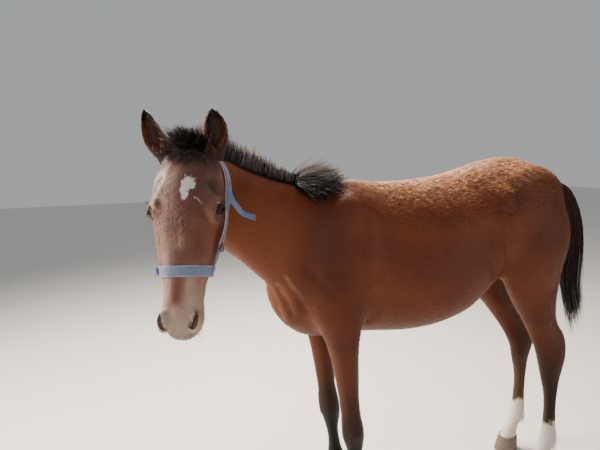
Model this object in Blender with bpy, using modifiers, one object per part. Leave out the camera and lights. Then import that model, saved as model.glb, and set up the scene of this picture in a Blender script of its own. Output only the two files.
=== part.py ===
"""A young bay horse standing with its head turned to its left, wearing a webbing halter.

Metres, +Z up. The horse faces -X and its left side is towards -Y. The head is shaped in a frame of its
own: x runs from the poll down the face to the lips, y to the horse's left and z out of the face.
"""

import math

import bmesh
import bpy
import numpy as np
from mathutils import Matrix, Vector
from mathutils.bvhtree import BVHTree

# Driving sizes of the whole animal.
HEAD_LENGTH = 0.4573
EYE_RADIUS = 0.0220
CORONET_HEIGHT = 0.062
CORONET_TILT = (0.24, 0.0, 1.0)
CUT = 0.0003
RING_POINTS = 32
BODY_VOXEL = 0.009
HEAD_VOXEL = 0.0034
BODY_TRIANGLES = 3670
HEAD_TRIANGLES = 2000

# Moves the finished model so that the middle of its box stands over the origin.
ORIGIN_SHIFT = (0.0708, 0.1108, 0.0)

# The trunk, rump first: x, top, bottom, height of the widest place, half width, fullness above and below.
TRUNK = (
    (0.600, 1.125, 1.030, 1.075, 0.028, 2.0, 2.0),
    (0.580, 1.158, 0.975, 1.060, 0.060, 2.0, 2.0),
    (0.530, 1.198, 0.905, 1.040, 0.105, 2.0, 2.0),
    (0.450, 1.240, 0.892, 1.020, 0.145, 2.0, 2.0),
    (0.340, 1.256, 0.870, 1.000, 0.166, 2.1, 2.0),
    (0.250, 1.241, 0.768, 0.975, 0.172, 2.0, 2.0),
    (0.180, 1.222, 0.706, 0.945, 0.178, 2.0, 2.1),
    (0.100, 1.202, 0.676, 0.915, 0.186, 2.0, 2.1),
    (0.020, 1.191, 0.660, 0.900, 0.187, 2.0, 2.1),
    (-0.080, 1.184, 0.656, 0.900, 0.176, 2.0, 2.1),
    (-0.170, 1.188, 0.662, 0.900, 0.157, 1.9, 2.0),
    (-0.240, 1.200, 0.668, 0.900, 0.140, 1.7, 2.0),
    (-0.320, 1.192, 0.664, 0.900, 0.128, 1.6, 2.0),
    (-0.400, 1.130, 0.672, 0.890, 0.118, 1.8, 2.0),
    (-0.460, 1.050, 0.694, 0.870, 0.102, 2.0, 2.0),
    (-0.510, 0.975, 0.745, 0.858, 0.078, 2.0, 2.0),
    (-0.540, 0.925, 0.790, 0.855, 0.048, 2.0, 2.0),
    (-0.550, 0.890, 0.820, 0.855, 0.022, 2.0, 2.0),
)

# The neck from the shoulder to the head: centre x, y, z, reach to crest and underside, half width, fullness.
NECK = (
    (-0.200, 0.000, 0.985, 0.190, 0.240, 0.115, 1.8, 2.0),
    (-0.340, 0.000, 0.990, 0.188, 0.220, 0.105, 1.8, 2.0),
    (-0.460, -0.010, 1.030, 0.172, 0.190, 0.086, 1.8, 2.0),
    (-0.570, -0.045, 1.085, 0.143, 0.152, 0.071, 1.8, 2.0),
    (-0.665, -0.105, 1.140, 0.123, 0.134, 0.063, 1.9, 2.0),
    (-0.735, -0.175, 1.185, 0.108, 0.124, 0.060, 2.0, 2.0),
    (-0.775, -0.235, 1.215, 0.085, 0.100, 0.058, 2.0, 2.0),
)

# A foreleg by height: z, front, back, distance of its middle from the midline, half width.
FORELEG = (
    (0.940, -0.440, -0.250, 0.075, 0.040),
    (0.860, -0.455, -0.238, 0.092, 0.052),
    (0.780, -0.435, -0.244, 0.102, 0.056),
    (0.730, -0.410, -0.254, 0.105, 0.052),
    (0.680, -0.388, -0.264, 0.105, 0.046),
    (0.620, -0.370, -0.268, 0.103, 0.041),
    (0.560, -0.356, -0.267, 0.101, 0.036),
    (0.480, -0.341, -0.265, 0.098, 0.032),
    (0.420, -0.333, -0.259, 0.096, 0.032),
    (0.375, -0.330, -0.250, 0.095, 0.036),
    (0.340, -0.327, -0.245, 0.094, 0.036),
    (0.310, -0.319, -0.247, 0.093, 0.030),
    (0.265, -0.306, -0.253, 0.092, 0.0245),
    (0.205, -0.298, -0.247, 0.090, 0.0235),
    (0.168, -0.300, -0.237, 0.089, 0.0290),
    (0.142, -0.303, -0.230, 0.088, 0.0310),
    (0.115, -0.308, -0.241, 0.088, 0.0270),
    (0.088, -0.318, -0.251, 0.088, 0.0260),
    (0.062, -0.330, -0.254, 0.088, 0.0320),
    (0.030, -0.336, -0.254, 0.088, 0.0340),
)

# A hind leg by height, as above.
HINDLEG = (
    (1.130, 0.360, 0.520, 0.080, 0.058),
    (1.050, 0.310, 0.566, 0.092, 0.070),
    (0.970, 0.280, 0.575, 0.102, 0.078),
    (0.900, 0.275, 0.556, 0.108, 0.075),
    (0.850, 0.280, 0.538, 0.111, 0.068),
    (0.790, 0.298, 0.530, 0.113, 0.058),
    (0.720, 0.338, 0.524, 0.112, 0.050),
    (0.650, 0.386, 0.535, 0.110, 0.042),
    (0.590, 0.420, 0.574, 0.108, 0.035),
    (0.550, 0.442, 0.590, 0.107, 0.032),
    (0.490, 0.466, 0.592, 0.105, 0.036),
    (0.450, 0.479, 0.582, 0.104, 0.034),
    (0.410, 0.489, 0.573, 0.104, 0.029),
    (0.350, 0.507, 0.567, 0.102, 0.0255),
    (0.250, 0.515, 0.568, 0.100, 0.0245),
    (0.200, 0.513, 0.573, 0.099, 0.0270),
    (0.165, 0.508, 0.577, 0.099, 0.0310),
    (0.132, 0.498, 0.566, 0.099, 0.0290),
    (0.100, 0.484, 0.550, 0.099, 0.0265),
    (0.062, 0.468, 0.545, 0.099, 0.0320),
    (0.030, 0.460, 0.545, 0.099, 0.0340),
)

# Each leg: table, side (-1 is the left), how far back (+) or forward (-) it stands at the top, middle
# joint and foot, and how far it stands in from its own side.
LEGS = {
    "foreleg_left": (FORELEG, -1, (0.0, 0.0, 0.0), 0.0),
    "foreleg_right": (FORELEG, 1, (0.0, -0.012, -0.012), 0.0),
    "hindleg_left": (HINDLEG, -1, (0.0, 0.0, 0.0), 0.0),
    "hindleg_right": (HINDLEG, 1, (-0.050, 0.044, 0.010), 0.008),
}
LEG_BEND_HEIGHTS = (0.90, 0.47, 0.0)

# Muscles and bones that swell the trunk: place on the left side, half sizes, and turn about the Y axis.
MASSES = (
    ("shoulder blade", (-0.345, 0.060, 1.000), (0.085, 0.058, 0.180), 32),
    ("shoulder point", (-0.450, 0.066, 0.890), (0.070, 0.050, 0.090), 0),
    ("triceps", (-0.300, 0.088, 0.850), (0.095, 0.050, 0.110), -25),
    ("breast", (-0.452, 0.038, 0.812), (0.064, 0.056, 0.098), 20),
    ("hip point", (0.262, 0.112, 1.110), (0.075, 0.045, 0.060), 0),
    ("rump", (0.380, 0.075, 1.100), (0.180, 0.085, 0.130), -8),
    ("buttock", (0.515, 0.058, 1.030), (0.070, 0.060, 0.115), 15),
    ("stifle", (0.322, 0.112, 0.884), (0.048, 0.050, 0.064), 20),
)

# The head along the face: distance from the poll, top, bottom, height of the widest place, half width,
# fullness above and below.
SKULL = (
    (-0.030, -0.030, -0.110, -0.065, 0.030, 2.0, 2.0),
    (0.000, 0.000, -0.140, -0.060, 0.064, 2.0, 2.0),
    (0.050, 0.014, -0.150, -0.055, 0.082, 2.1, 2.0),
    (0.100, 0.018, -0.150, -0.054, 0.092, 2.3, 2.0),
    (0.150, 0.012, -0.145, -0.052, 0.090, 2.4, 2.0),
    (0.200, 0.001, -0.140, -0.054, 0.082, 2.5, 2.0),
    (0.250, -0.010, -0.135, -0.060, 0.073, 2.4, 2.0),
    (0.300, -0.017, -0.128, -0.066, 0.062, 2.3, 2.1),
    (0.350, -0.024, -0.122, -0.070, 0.052, 2.2, 2.1),
    (0.395, -0.031, -0.120, -0.074, 0.050, 2.2, 2.1),
    (0.430, -0.040, -0.122, -0.080, 0.051, 2.2, 2.1),
    (0.455, -0.054, -0.118, -0.086, 0.039, 2.0, 2.0),
    (0.471, -0.074, -0.106, -0.090, 0.020, 2.0, 2.0),
)
# The lower jaw, as above.
JAW = (
    (0.020, -0.080, -0.165, -0.120, 0.030, 2.0, 2.0),
    (0.040, -0.060, -0.190, -0.120, 0.064, 2.0, 2.0),
    (0.090, -0.040, -0.205, -0.120, 0.083, 2.0, 1.9),
    (0.150, -0.040, -0.202, -0.115, 0.088, 2.0, 1.8),
    (0.210, -0.050, -0.182, -0.110, 0.082, 2.0, 1.8),
    (0.270, -0.060, -0.158, -0.110, 0.067, 2.0, 1.9),
    (0.330, -0.070, -0.142, -0.108, 0.046, 2.0, 2.0),
    (0.390, -0.080, -0.138, -0.110, 0.037, 2.0, 2.0),
    (0.424, -0.090, -0.141, -0.116, 0.035, 2.0, 2.0),
    (0.447, -0.100, -0.134, -0.118, 0.023, 2.0, 2.0),
)

# Where the head is held: the poll, the slope of the face below level, and the turn from -Y towards -X.
POLL = (-0.791, -0.236, 1.301)
FACE_SLOPE = math.radians(62)
FACE_TURN = math.radians(18)

# The left eye in the head's frame: its middle, the way it looks, and the way towards its inner corner.
EYE_PLACE = (0.162, 0.0730, -0.0350)
EYE_LOOKS = (0.02, 0.79, 0.61)
EYE_INNER_CORNER = (0.74, -0.44, 0.46)
# The opening between the lids: half its length, and how far the upper and lower lids stand apart.
LID_OPENING = (0.0230, 0.0150, 0.0115)
LID_THICKNESS = 0.0028

# The left nostril in the head's frame: middle, half sizes, and the way it opens.
NOSTRIL_PLACE = (0.436, 0.0400, -0.0440)
NOSTRIL_SIZE = (0.021, 0.0085, 0.014)
NOSTRIL_OPENS = (0.25, 0.76, 0.60)

# The line of the mouth on the left half, from its corner to the front of the lips, in the head's frame.
MOUTH_LINE = (
    (0.392, 0.046, -0.098),
    (0.413, 0.047, -0.103),
    (0.436, 0.042, -0.106),
    (0.456, 0.028, -0.109),
    (0.467, 0.000, -0.111),
)

# Each ear: foot in the head's frame, the way it points and the way its cup faces in the world, length,
# how far its middle bows to the side, and how much broader its lower third is than its upper.
EARS = {
    "ear_left": ((0.002, 0.066, -0.036), (-0.035, -0.060, 1.0), (0.10, -1.0, 0.0), 0.111, 0.006, 0.0),
    "ear_right": ((0.006, -0.062, -0.034), (-0.400, -0.030, 1.0), (-0.62, -0.78, 0.0), 0.122, -0.012, 0.26),
}
# The ear's sections: share of its length, half width, half depth, and how far it leans back.
EAR_FORM = (
    (0.00, 0.0200, 0.0190, 0.000),
    (0.12, 0.0235, 0.0205, 0.001),
    (0.28, 0.0295, 0.0205, 0.003),
    (0.48, 0.0325, 0.0190, 0.005),
    (0.68, 0.0295, 0.0165, 0.005),
    (0.84, 0.0210, 0.0120, 0.002),
    (0.94, 0.0120, 0.0075, -0.001),
    (1.00, 0.0035, 0.0030, -0.003),
)
EAR_WALL = 0.0036

# The fleshy dock of the tail: middle and radius.
DOCK = (
    (0.545, 0.000, 1.165, 0.030),
    (0.580, 0.000, 1.162, 0.026),
    (0.615, 0.000, 1.142, 0.023),
    (0.645, 0.000, 1.100, 0.020),
    (0.662, 0.000, 1.040, 0.016),
    (0.672, 0.000, 0.975, 0.011),
    (0.676, 0.000, 0.930, 0.006),
)

# The tail's hair as one form: middle, half depth and half width.
TAIL_FORM = (
    (0.610, 0.0, 1.142, 0.020, 0.018),
    (0.650, 0.0, 1.110, 0.032, 0.030),
    (0.682, 0.0, 1.040, 0.040, 0.038),
    (0.702, 0.0, 0.950, 0.046, 0.042),
    (0.708, 0.0, 0.860, 0.048, 0.042),
    (0.704, 0.0, 0.770, 0.044, 0.038),
    (0.712, 0.0, 0.690, 0.034, 0.028),
    (0.738, 0.0, 0.620, 0.014, 0.012),
    (0.752, 0.0, 0.590, 0.003, 0.003),
)

# The hair: how many locks, their length at the two ends of the row, width and thickness at the root.
MANE_LOCKS = 34
MANE_LENGTHS = (0.062, 0.080)
MANE_WIDTH = 0.036
WITHERS_LOCKS = 12
FORELOCK_LOCKS = 9
FORELOCK_WIDTH = 0.026
TAIL_LOCKS = 20
TAIL_WIDTH = 0.038
LOCK_FLATNESS = 0.34

# The halter: width and thickness of its webbing, and how far it lies off the coat.
WEB_WIDTH = 0.026
WEB_THICKNESS = 0.0020
WEB_LIFT = 0.0016
LAYER = WEB_THICKNESS + 0.0012
# The middle of the noseband's loop, the way its plane faces, and how far it hangs away under the jaw.
NOSEBAND_PLACE = (0.307, 0.0, -0.078)
NOSEBAND_FACES = (0.975, 0.0, -0.220)
NOSEBAND_SLACK = 0.020
# The cheek straps and crown on the left half, from the noseband to behind the ears, in the head's frame.
HEADPIECE = (
    (0.318, 0.070, -0.093),
    (0.290, 0.074, -0.098),
    (0.250, 0.082, -0.106),
    (0.205, 0.090, -0.114),
    (0.150, 0.094, -0.118),
    (0.100, 0.090, -0.114),
    (0.060, 0.084, -0.104),
    (0.025, 0.078, -0.092),
    (-0.010, 0.066, -0.080),
    (-0.034, 0.046, -0.060),
    (-0.046, 0.022, -0.040),
    (-0.050, 0.000, -0.034),
)
HEADPIECE_WIDTH = 0.020
HEADPIECE_STEP = 0.018
# The end of webbing that hangs loose beside the left cheek, in the world.
LOOSE_WIDTH = 0.0135
LOOSE_END = (
    (-0.697, -0.263, 1.192),
    (-0.688, -0.256, 1.167),
    (-0.673, -0.243, 1.146),
    (-0.655, -0.224, 1.126),
    (-0.625, -0.216, 1.113),
)
RING_PLACE = (0.239, 0.089, -0.108)
RING_RADIUS = 0.0105
RING_TUBE = 0.0018
KNOT_PLACE = (0.303, -0.072, -0.080)

# Colours: slot, red, green, blue, roughness, metallic.
COLOURS = {
    "bay_coat": (0.245, 0.085, 0.035, 0.62, 0.0),
    "black_hair": (0.020, 0.017, 0.016, 0.55, 0.0),
    "pale_coat": (0.62, 0.58, 0.54, 0.65, 0.0),
    "hoof_horn": (0.060, 0.050, 0.045, 0.45, 0.0),
    "eye": (0.020, 0.012, 0.008, 0.08, 0.0),
    "webbing": (0.36, 0.47, 0.66, 0.80, 0.0),
    "dull_metal": (0.30, 0.29, 0.28, 0.40, 1.0),
}
MATERIAL_OF = {
    "tail": "black_hair",
    "ear_left": "black_hair",
    "ear_right": "black_hair",
    "eye_left": "eye",
    "eye_right": "eye",
    "hoof_fore_left": "hoof_horn",
    "hoof_fore_right": "hoof_horn",
    "hoof_hind_left": "hoof_horn",
    "hoof_hind_right": "hoof_horn",
    "noseband": "webbing",
    "headpiece": "webbing",
    "loose_strap_end": "webbing",
    "strap_knot": "webbing",
    "halter_ring": "dull_metal",
}

# Where the flesh is parted: place, the way the thin cut faces, and its half length and half width.
PARTINGS = (
    ((-0.372, 0.0, 1.030), (-0.734, 0.0, 0.680), 0.34, 0.30),
    ((-0.325, 0.105, 0.640), (0.0, 0.0, 1.0), 0.125, 0.058),
    ((-0.325, -0.105, 0.640), (0.0, 0.0, 1.0), 0.125, 0.058),
    ((0.450, 0.110, 0.740), (0.0, 0.0, 1.0), 0.150, 0.068),
    ((0.450, -0.113, 0.740), (0.0, 0.0, 1.0), 0.150, 0.068),
)
# A place inside each piece of flesh that the cuts leave.
FLESH = {
    "torso": (0.050, 0.0, 0.950),
    "neck": (-0.560, -0.045, 1.090),
    "foreleg_left": (-0.290, -0.093, 0.350),
    "foreleg_right": (-0.290, 0.093, 0.350),
    "hindleg_left": (0.520, -0.105, 0.400),
    "hindleg_right": (0.540, 0.097, 0.400),
}

def clear_scene():
    for old in list(bpy.data.objects):
        bpy.data.objects.remove(old)


def head_matrix():
    """The head's frame in the world: columns are down the face, to the left and out of the face."""
    level = Vector((-math.sin(FACE_TURN), -math.cos(FACE_TURN), 0.0))
    up = Vector((0.0, 0.0, 1.0))
    down_face = level * math.cos(FACE_SLOPE) - up * math.sin(FACE_SLOPE)
    out = level * math.sin(FACE_SLOPE) + up * math.cos(FACE_SLOPE)
    left = out.cross(down_face)
    turned = Matrix((down_face, left, out)).transposed().to_4x4()
    turned = turned @ Matrix.Scale(HEAD_LENGTH / SKULL[-1][0], 4)
    turned.translation = POLL
    return turned


def read_smoothly(table, at):
    """Rows of the table, whose first column is the place, read at each place on one smooth curve."""
    table = np.array(table, float)
    if table[0, 0] > table[-1, 0]:
        table = table[::-1]
    place, value = table[:, 0], table[:, 1:]
    slope = np.gradient(value, place, axis=0)
    i = np.clip(np.searchsorted(place, at) - 1, 0, len(place) - 2)
    gap = (place[i + 1] - place[i])[:, None]
    s = (np.asarray(at)[:, None] - place[i][:, None]) / gap
    return (
        (2 * s**3 - 3 * s**2 + 1) * value[i]
        + (s**3 - 2 * s**2 + s) * gap * slope[i]
        + (3 * s**2 - 2 * s**3) * value[i + 1]
        + (s**3 - s**2) * gap * slope[i + 1]
    )


def section(up, down, wide, full_up, full_down, points):
    """(across, upward) offsets round one rounded section."""
    angle = np.arange(points) * 2 * math.pi / points
    full = np.where(np.sin(angle) > 0, full_up, full_down)
    reach = np.where(np.sin(angle) > 0, up, down)
    across = wide * np.sign(np.cos(angle)) * np.abs(np.cos(angle)) ** (2 / full)
    upward = reach * np.sign(np.sin(angle)) * np.abs(np.sin(angle)) ** (2 / full)
    return across, upward


def loft(name, centres, across, upward, sizes, around=RING_POINTS):
    """A closed skin over rounded sections: each has its centre, two directions, and its sizes."""
    shape = bmesh.new()
    rings = []
    for centre, side, up, size in zip(centres, across, upward, sizes):
        a, b = section(*size, around)
        points = centre + a[:, None] * side + b[:, None] * up
        rings.append([shape.verts.new(p) for p in points])
    for near, far in zip(rings, rings[1:]):
        for k in range(len(near)):
            after = (k + 1) % len(near)
            shape.faces.new((near[k], near[after], far[after], far[k]))
    shape.faces.new(rings[0][::-1])
    shape.faces.new(rings[-1])
    bmesh.ops.recalc_face_normals(shape, faces=shape.faces)
    return mesh_object(name, shape)


def mesh_object(name, shape):
    mesh = bpy.data.meshes.new(name)
    shape.to_mesh(mesh)
    shape.free()
    made = bpy.data.objects.new(name, mesh)
    bpy.context.scene.collection.objects.link(made)
    return made


def along(table, count):
    table = np.array(table, float)
    return np.linspace(table[0, 0], table[-1, 0], count)


def trunk():
    at = along(TRUNK, 60)
    top, bottom, level, wide, full_up, full_down = read_smoothly(TRUNK, at).T
    centres = np.stack([at, at * 0, level], 1)
    side = np.tile((0.0, 1.0, 0.0), (len(at), 1))
    up = np.tile((0.0, 0.0, 1.0), (len(at), 1))
    sizes = np.stack([top - level, level - bottom, wide, full_up, full_down], 1)
    return loft("trunk", centres, side, up, sizes)


def neck_frames(count=40):
    """Centres, sideways and upward directions, and sizes along the neck."""
    steps = np.linspace(0, len(NECK) - 1, count)
    rows = np.column_stack([np.arange(len(NECK)), np.array(NECK, float)])
    read = read_smoothly(rows, steps)
    centres = read[:, :3]
    run = np.gradient(centres, axis=0)
    run /= np.linalg.norm(run, axis=1)[:, None]
    side = np.cross(run, (0.0, 0.0, 1.0))
    side /= np.linalg.norm(side, axis=1)[:, None]
    up = np.cross(side, run)
    return centres, side, up, read[:, 3:]


def neck():
    return loft("neck", *neck_frames())


def leg_shift(heights, shifts):
    """How far along X the leg is moved at each height."""
    rows = sorted(zip(LEG_BEND_HEIGHTS, shifts))
    place, value = np.array(rows).T
    return np.interp(heights, place, value)


def leg(name):
    table, side, shifts, inward = LEGS[name]
    at = along(table, 70)
    front, back, apart, wide = read_smoothly(table, at).T
    middle = (front + back) / 2 + leg_shift(at, shifts)
    half = (back - front) / 2
    centres = np.stack([middle, side * (apart - inward), at], 1)
    across = np.tile((0.0, 1.0, 0.0), (len(at), 1))
    forward = np.tile((-1.0, 0.0, 0.0), (len(at), 1))
    round_ = np.full(len(at), 2.0)
    return loft(name, centres, across, forward, np.stack([half, half, wide, round_, round_], 1))


def ball(name, place, half_sizes, turned=Matrix(), segments=32, rings=20):
    """A sphere scaled by its half sizes and turned."""
    shape = bmesh.new()
    bmesh.ops.create_uvsphere(shape, u_segments=segments, v_segments=rings, radius=1.0)
    sized = Matrix.Diagonal((*half_sizes, 1.0))
    shape.transform(Matrix.Translation(place) @ turned @ sized)
    return mesh_object(name, shape)


def masses():
    made = []
    for name, (x, y, z), half_sizes, turn in MASSES:
        for side in (-1, 1):
            turned = Matrix.Rotation(math.radians(turn), 4, "Y")
            made.append(ball(name, (x, side * y, z), half_sizes, turned))
    return made


def head_loft(name, table):
    at = along(table, 50)
    top, bottom, level, wide, full_up, full_down = read_smoothly(table, at).T
    centres = np.stack([at, at * 0, level], 1)
    side = np.tile((0.0, 1.0, 0.0), (len(at), 1))
    up = np.tile((0.0, 0.0, 1.0), (len(at), 1))
    sizes = np.stack([top - level, level - bottom, wide, full_up, full_down], 1)
    return loft(name, centres, side, up, sizes)


def joined(name, objects):
    bpy.ops.object.select_all(action="DESELECT")
    for piece in objects:
        piece.select_set(True)
    bpy.context.view_layer.objects.active = objects[0]
    bpy.ops.object.join()
    objects[0].name = name
    return objects[0]


def apply_modifier(made, kind, **settings):
    changed = made.modifiers.new(kind.lower(), kind)
    for key, value in settings.items():
        setattr(changed, key, value)
    bpy.context.view_layer.objects.active = made
    bpy.ops.object.modifier_apply(modifier=changed.name)


def one_skin(made, voxel, smoothing):
    """Melts what lies inside the object into a single skin."""
    apply_modifier(made, "REMESH", mode="VOXEL", voxel_size=voxel)
    apply_modifier(made, "SMOOTH", factor=0.5, iterations=smoothing)


def soften(made, lowest, highest, passes):
    """Smooths away the edges of the muscles, fully above one height and not at all below another."""
    group = made.vertex_groups.new(name="soft")
    for vertex in made.data.vertices:
        share = (vertex.co.z - lowest) / (highest - lowest)
        group.add([vertex.index], min(1.0, max(0.0, share)), "REPLACE")
    apply_modifier(made, "SMOOTH", factor=0.5, iterations=passes, vertex_group=group.name)


def thinned(made, triangles):
    made.data.calc_loop_triangles()
    share = triangles / len(made.data.loop_triangles)
    apply_modifier(made, "DECIMATE", ratio=min(1.0, share))


def body_skin():
    pieces = [trunk(), neck()] + [leg(name) for name in LEGS] + masses()
    made = joined("body", pieces)
    one_skin(made, BODY_VOXEL, 3)
    soften(made, 0.55, 0.80, 40)
    return made


def mirrored(place, side):
    """A place or direction of the left half, taken to the side asked for (1 left, -1 right)."""
    return Vector((place[0], side * place[1], place[2]))


def frame(along, outward):
    """A turn whose Z is the first direction and whose X lies as near as it can to the second."""
    z = Vector(along).normalized()
    x = Vector(outward)
    x = (x - x.dot(z) * z).normalized()
    return Matrix((x, z.cross(x), z)).transposed().to_4x4()


def stroke(made, path, width, depth):
    """Raises the skin along a path of points, or presses it in where the depth is below zero."""
    count = len(made.data.vertices)
    place = np.empty(count * 3)
    made.data.vertices.foreach_get("co", place)
    place = place.reshape(-1, 3)
    normal = np.empty(count * 3)
    made.data.vertices.foreach_get("normal", normal)
    normal = normal.reshape(-1, 3)
    near = np.full(count, 9.0)
    path = np.array(path, float)
    for a, b in zip(path, path[1:]):
        run = b - a
        share = np.clip((place - a) @ run / (run @ run), 0.0, 1.0)
        near = np.minimum(near, np.linalg.norm(place - a - share[:, None] * run, axis=1))
    push = depth * np.exp(-((near / width) ** 2))
    made.data.vertices.foreach_set("co", (place + push[:, None] * normal).ravel())
    made.data.update()


def head_skin():
    pieces = [head_loft("skull", SKULL), head_loft("jaw", JAW)]
    for side in (-1, 1):
        eye = mirrored(EYE_PLACE, side)
        pieces.append(ball("brow", eye + mirrored((-0.002, -0.014, 0.010), side), (0.038, 0.026, 0.030)))
        pieces.append(ball("lids", eye, [EYE_RADIUS + LID_THICKNESS] * 3))
        pieces.append(ball("cheek", (0.125, side * 0.048, -0.122), (0.082, 0.038, 0.070)))
        pieces.append(ball("nostril wing", (0.428, side * 0.036, -0.060), (0.032, 0.020, 0.026)))
    pieces.append(ball("chin", (0.440, 0.0, -0.128), (0.022, 0.028, 0.016)))
    made = joined("head", pieces)
    one_skin(made, HEAD_VOXEL, 5)
    for side in (-1, 1):
        crest = ((0.205, 0.080, -0.080), (0.250, 0.071, -0.078), (0.290, 0.062, -0.076))
        stroke(made, [mirrored(p, side) for p in crest], 0.009, 0.0035)
        hollow = ((0.215, 0.062, -0.028), (0.260, 0.056, -0.036), (0.320, 0.047, -0.048))
        stroke(made, [mirrored(p, side) for p in hollow], 0.015, -0.0035)
        temple = ((0.095, 0.066, -0.012), (0.108, 0.074, -0.022))
        stroke(made, [mirrored(p, side) for p in temple], 0.013, -0.004)
        brow = ((0.132, 0.072, -0.022), (0.150, 0.078, -0.016), (0.172, 0.076, -0.020))
        stroke(made, [mirrored(p, side) for p in brow], 0.008, 0.0030)
    made.data.transform(head_matrix())
    return made


def boolean(made, cutters, operation):
    """One Boolean with every cutter in turn, which are then removed."""
    for cutter in cutters:
        before = len(made.data.polygons)
        copy = made.data.copy()
        settings = {"operation": operation, "object": cutter}
        apply_modifier(made, "BOOLEAN", solver="EXACT", **settings)
        if not is_closed(made.data):
            made.data = copy
            apply_modifier(made, "BOOLEAN", solver="MANIFOLD", **settings)
        if operation == "DIFFERENCE" and len(made.data.polygons) == 0 and before:
            made.data = copy
        bpy.data.objects.remove(cutter)
    return made


def is_closed(mesh):
    shape = bmesh.new()
    shape.from_mesh(mesh)
    closed = len(shape.faces) > 0 and all(edge.is_manifold for edge in shape.edges)
    shape.free()
    return closed


def fuse_locks(made, locks):
    """Fuses every lock into the node it grows from."""
    group = bpy.data.collections.new("locks")
    bpy.context.scene.collection.children.link(group)
    for lock in locks:
        group.objects.link(lock)
    copy = made.data.copy()
    settings = {"operation": "UNION", "operand_type": "COLLECTION", "collection": group}
    apply_modifier(made, "BOOLEAN", solver="EXACT", **settings)
    if not is_closed(made.data):
        made.data = copy
        apply_modifier(made, "BOOLEAN", solver="MANIFOLD", **settings)
    for lock in list(group.objects):
        bpy.data.objects.remove(lock)
    bpy.data.collections.remove(group)
    keep_largest(made)
    return made


def shells(shape):
    """The separate closed surfaces of a mesh, as lists of faces."""
    left = set(shape.faces)
    found = []
    while left:
        start = left.pop()
        group, edge_of = [start], [start]
        while edge_of:
            face = edge_of.pop()
            for edge in face.edges:
                for other in edge.link_faces:
                    if other in left:
                        left.remove(other)
                        group.append(other)
                        edge_of.append(other)
        found.append(group)
    return found


def keep_largest(made):
    shape = bmesh.new()
    shape.from_mesh(made.data)
    found = sorted(shells(shape), key=len)
    for group in found[:-1]:
        bmesh.ops.delete(shape, geom=group, context="FACES")
    shape.to_mesh(made.data)
    shape.free()


def swollen(made, gap):
    """A copy of a node grown by the gap, to cut its neighbours with."""
    copy = copied(made)
    shape = bmesh.new()
    shape.from_mesh(copy.data)
    shape.normal_update()
    for vertex in shape.verts:
        vertex.co += vertex.normal * gap * max(1.0, vertex.calc_shell_factor())
    shape.to_mesh(copy.data)
    shape.free()
    return copy


def slab(place, along, across, half_along, half_across, thickness=CUT):
    """A thin box whose thin side points the first way."""
    shape = bmesh.new()
    bmesh.ops.create_cube(shape, size=1.0)
    sized = Matrix.Diagonal((2 * half_along, 2 * half_across, thickness, 1.0))
    shape.transform(Matrix.Translation(place) @ frame(along, across) @ sized)
    return mesh_object("slab", shape)


def lens(side):
    """The wedge that opens the lids, widening from the middle of the eye outwards."""
    middle = mirrored(EYE_PLACE, side)
    looks = mirrored(EYE_LOOKS, side).normalized()
    inner = mirrored(EYE_INNER_CORNER, side)
    inner = (inner - inner.dot(looks) * looks).normalized()
    upward = looks.cross(inner)
    if upward.z < 0:
        upward = -upward
    half_length, above, below = LID_OPENING
    shape = bmesh.new()
    rings = []
    for depth, spread in ((0.3, 0.3), (1.0, 1.0), (1.6, 1.1)):
        ring = []
        for k in range(14):
            turn = k * 2 * math.pi / 14
            reach = above if math.sin(turn) > 0 else below
            lid = reach * math.sin(turn) * abs(math.sin(turn)) ** 0.3
            offset = inner * half_length * math.cos(turn) + upward * lid
            ring.append(shape.verts.new(middle + looks * EYE_RADIUS * depth + offset * spread))
        rings.append(ring)
    for near, far in zip(rings, rings[1:]):
        for k in range(14):
            after = (k + 1) % 14
            shape.faces.new((near[k], near[after], far[after], far[k]))
    shape.faces.new(rings[0][::-1])
    shape.faces.new(rings[-1])
    bmesh.ops.recalc_face_normals(shape, faces=shape.faces)
    return mesh_object("lens", shape)


def nostril(side):
    opens = mirrored(NOSTRIL_OPENS, side)
    turned = frame(opens, (1.0, 0.0, 0.0))
    return ball("nostril", mirrored(NOSTRIL_PLACE, side), NOSTRIL_SIZE, turned, 12, 8)


def mouth_groove():
    """A wedge drawn along the lips that parts them without reaching far in."""
    line = [mirrored(p, 1) for p in MOUTH_LINE]
    line += [mirrored(p, -1) for p in MOUTH_LINE[-2::-1]]
    shape = bmesh.new()
    rings = []
    inside = Vector((0.422, 0.0, -0.104))
    for point in line:
        inward = inside - point
        inward.z = 0.0
        inward.normalize()
        up = Vector((0.0, 0.0, 1.0))
        outer = point - inward * 0.006
        inner = point + inward * 0.008
        rings.append([shape.verts.new(p) for p in (outer + up * 0.0022, inner, outer - up * 0.0022)])
    for near, far in zip(rings, rings[1:]):
        for k in range(3):
            after = (k + 1) % 3
            shape.faces.new((near[k], near[after], far[after], far[k]))
    shape.faces.new(rings[0][::-1])
    shape.faces.new(rings[-1])
    bmesh.ops.recalc_face_normals(shape, faces=shape.faces)
    return mesh_object("mouth groove", shape)


def carve_face(animal):
    """Eye sockets, the opening of the lids, the nostrils and the line of the mouth."""
    cutters = []
    for side in (-1, 1):
        place = mirrored(EYE_PLACE, side)
        cutters.append(ball("socket", place, [EYE_RADIUS + CUT] * 3, Matrix(), 16, 10))
        cutters.append(lens(side))
        cutters.append(nostril(side))
    cutters.append(mouth_groove())
    for cutter in cutters:
        cutter.data.transform(head_matrix())
    boolean(animal, cutters, "DIFFERENCE")


def eye(name, side):
    made = ball(name, mirrored(EYE_PLACE, side), [EYE_RADIUS] * 3, Matrix(), 16, 10)
    made.data.transform(head_matrix())
    return made


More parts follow.
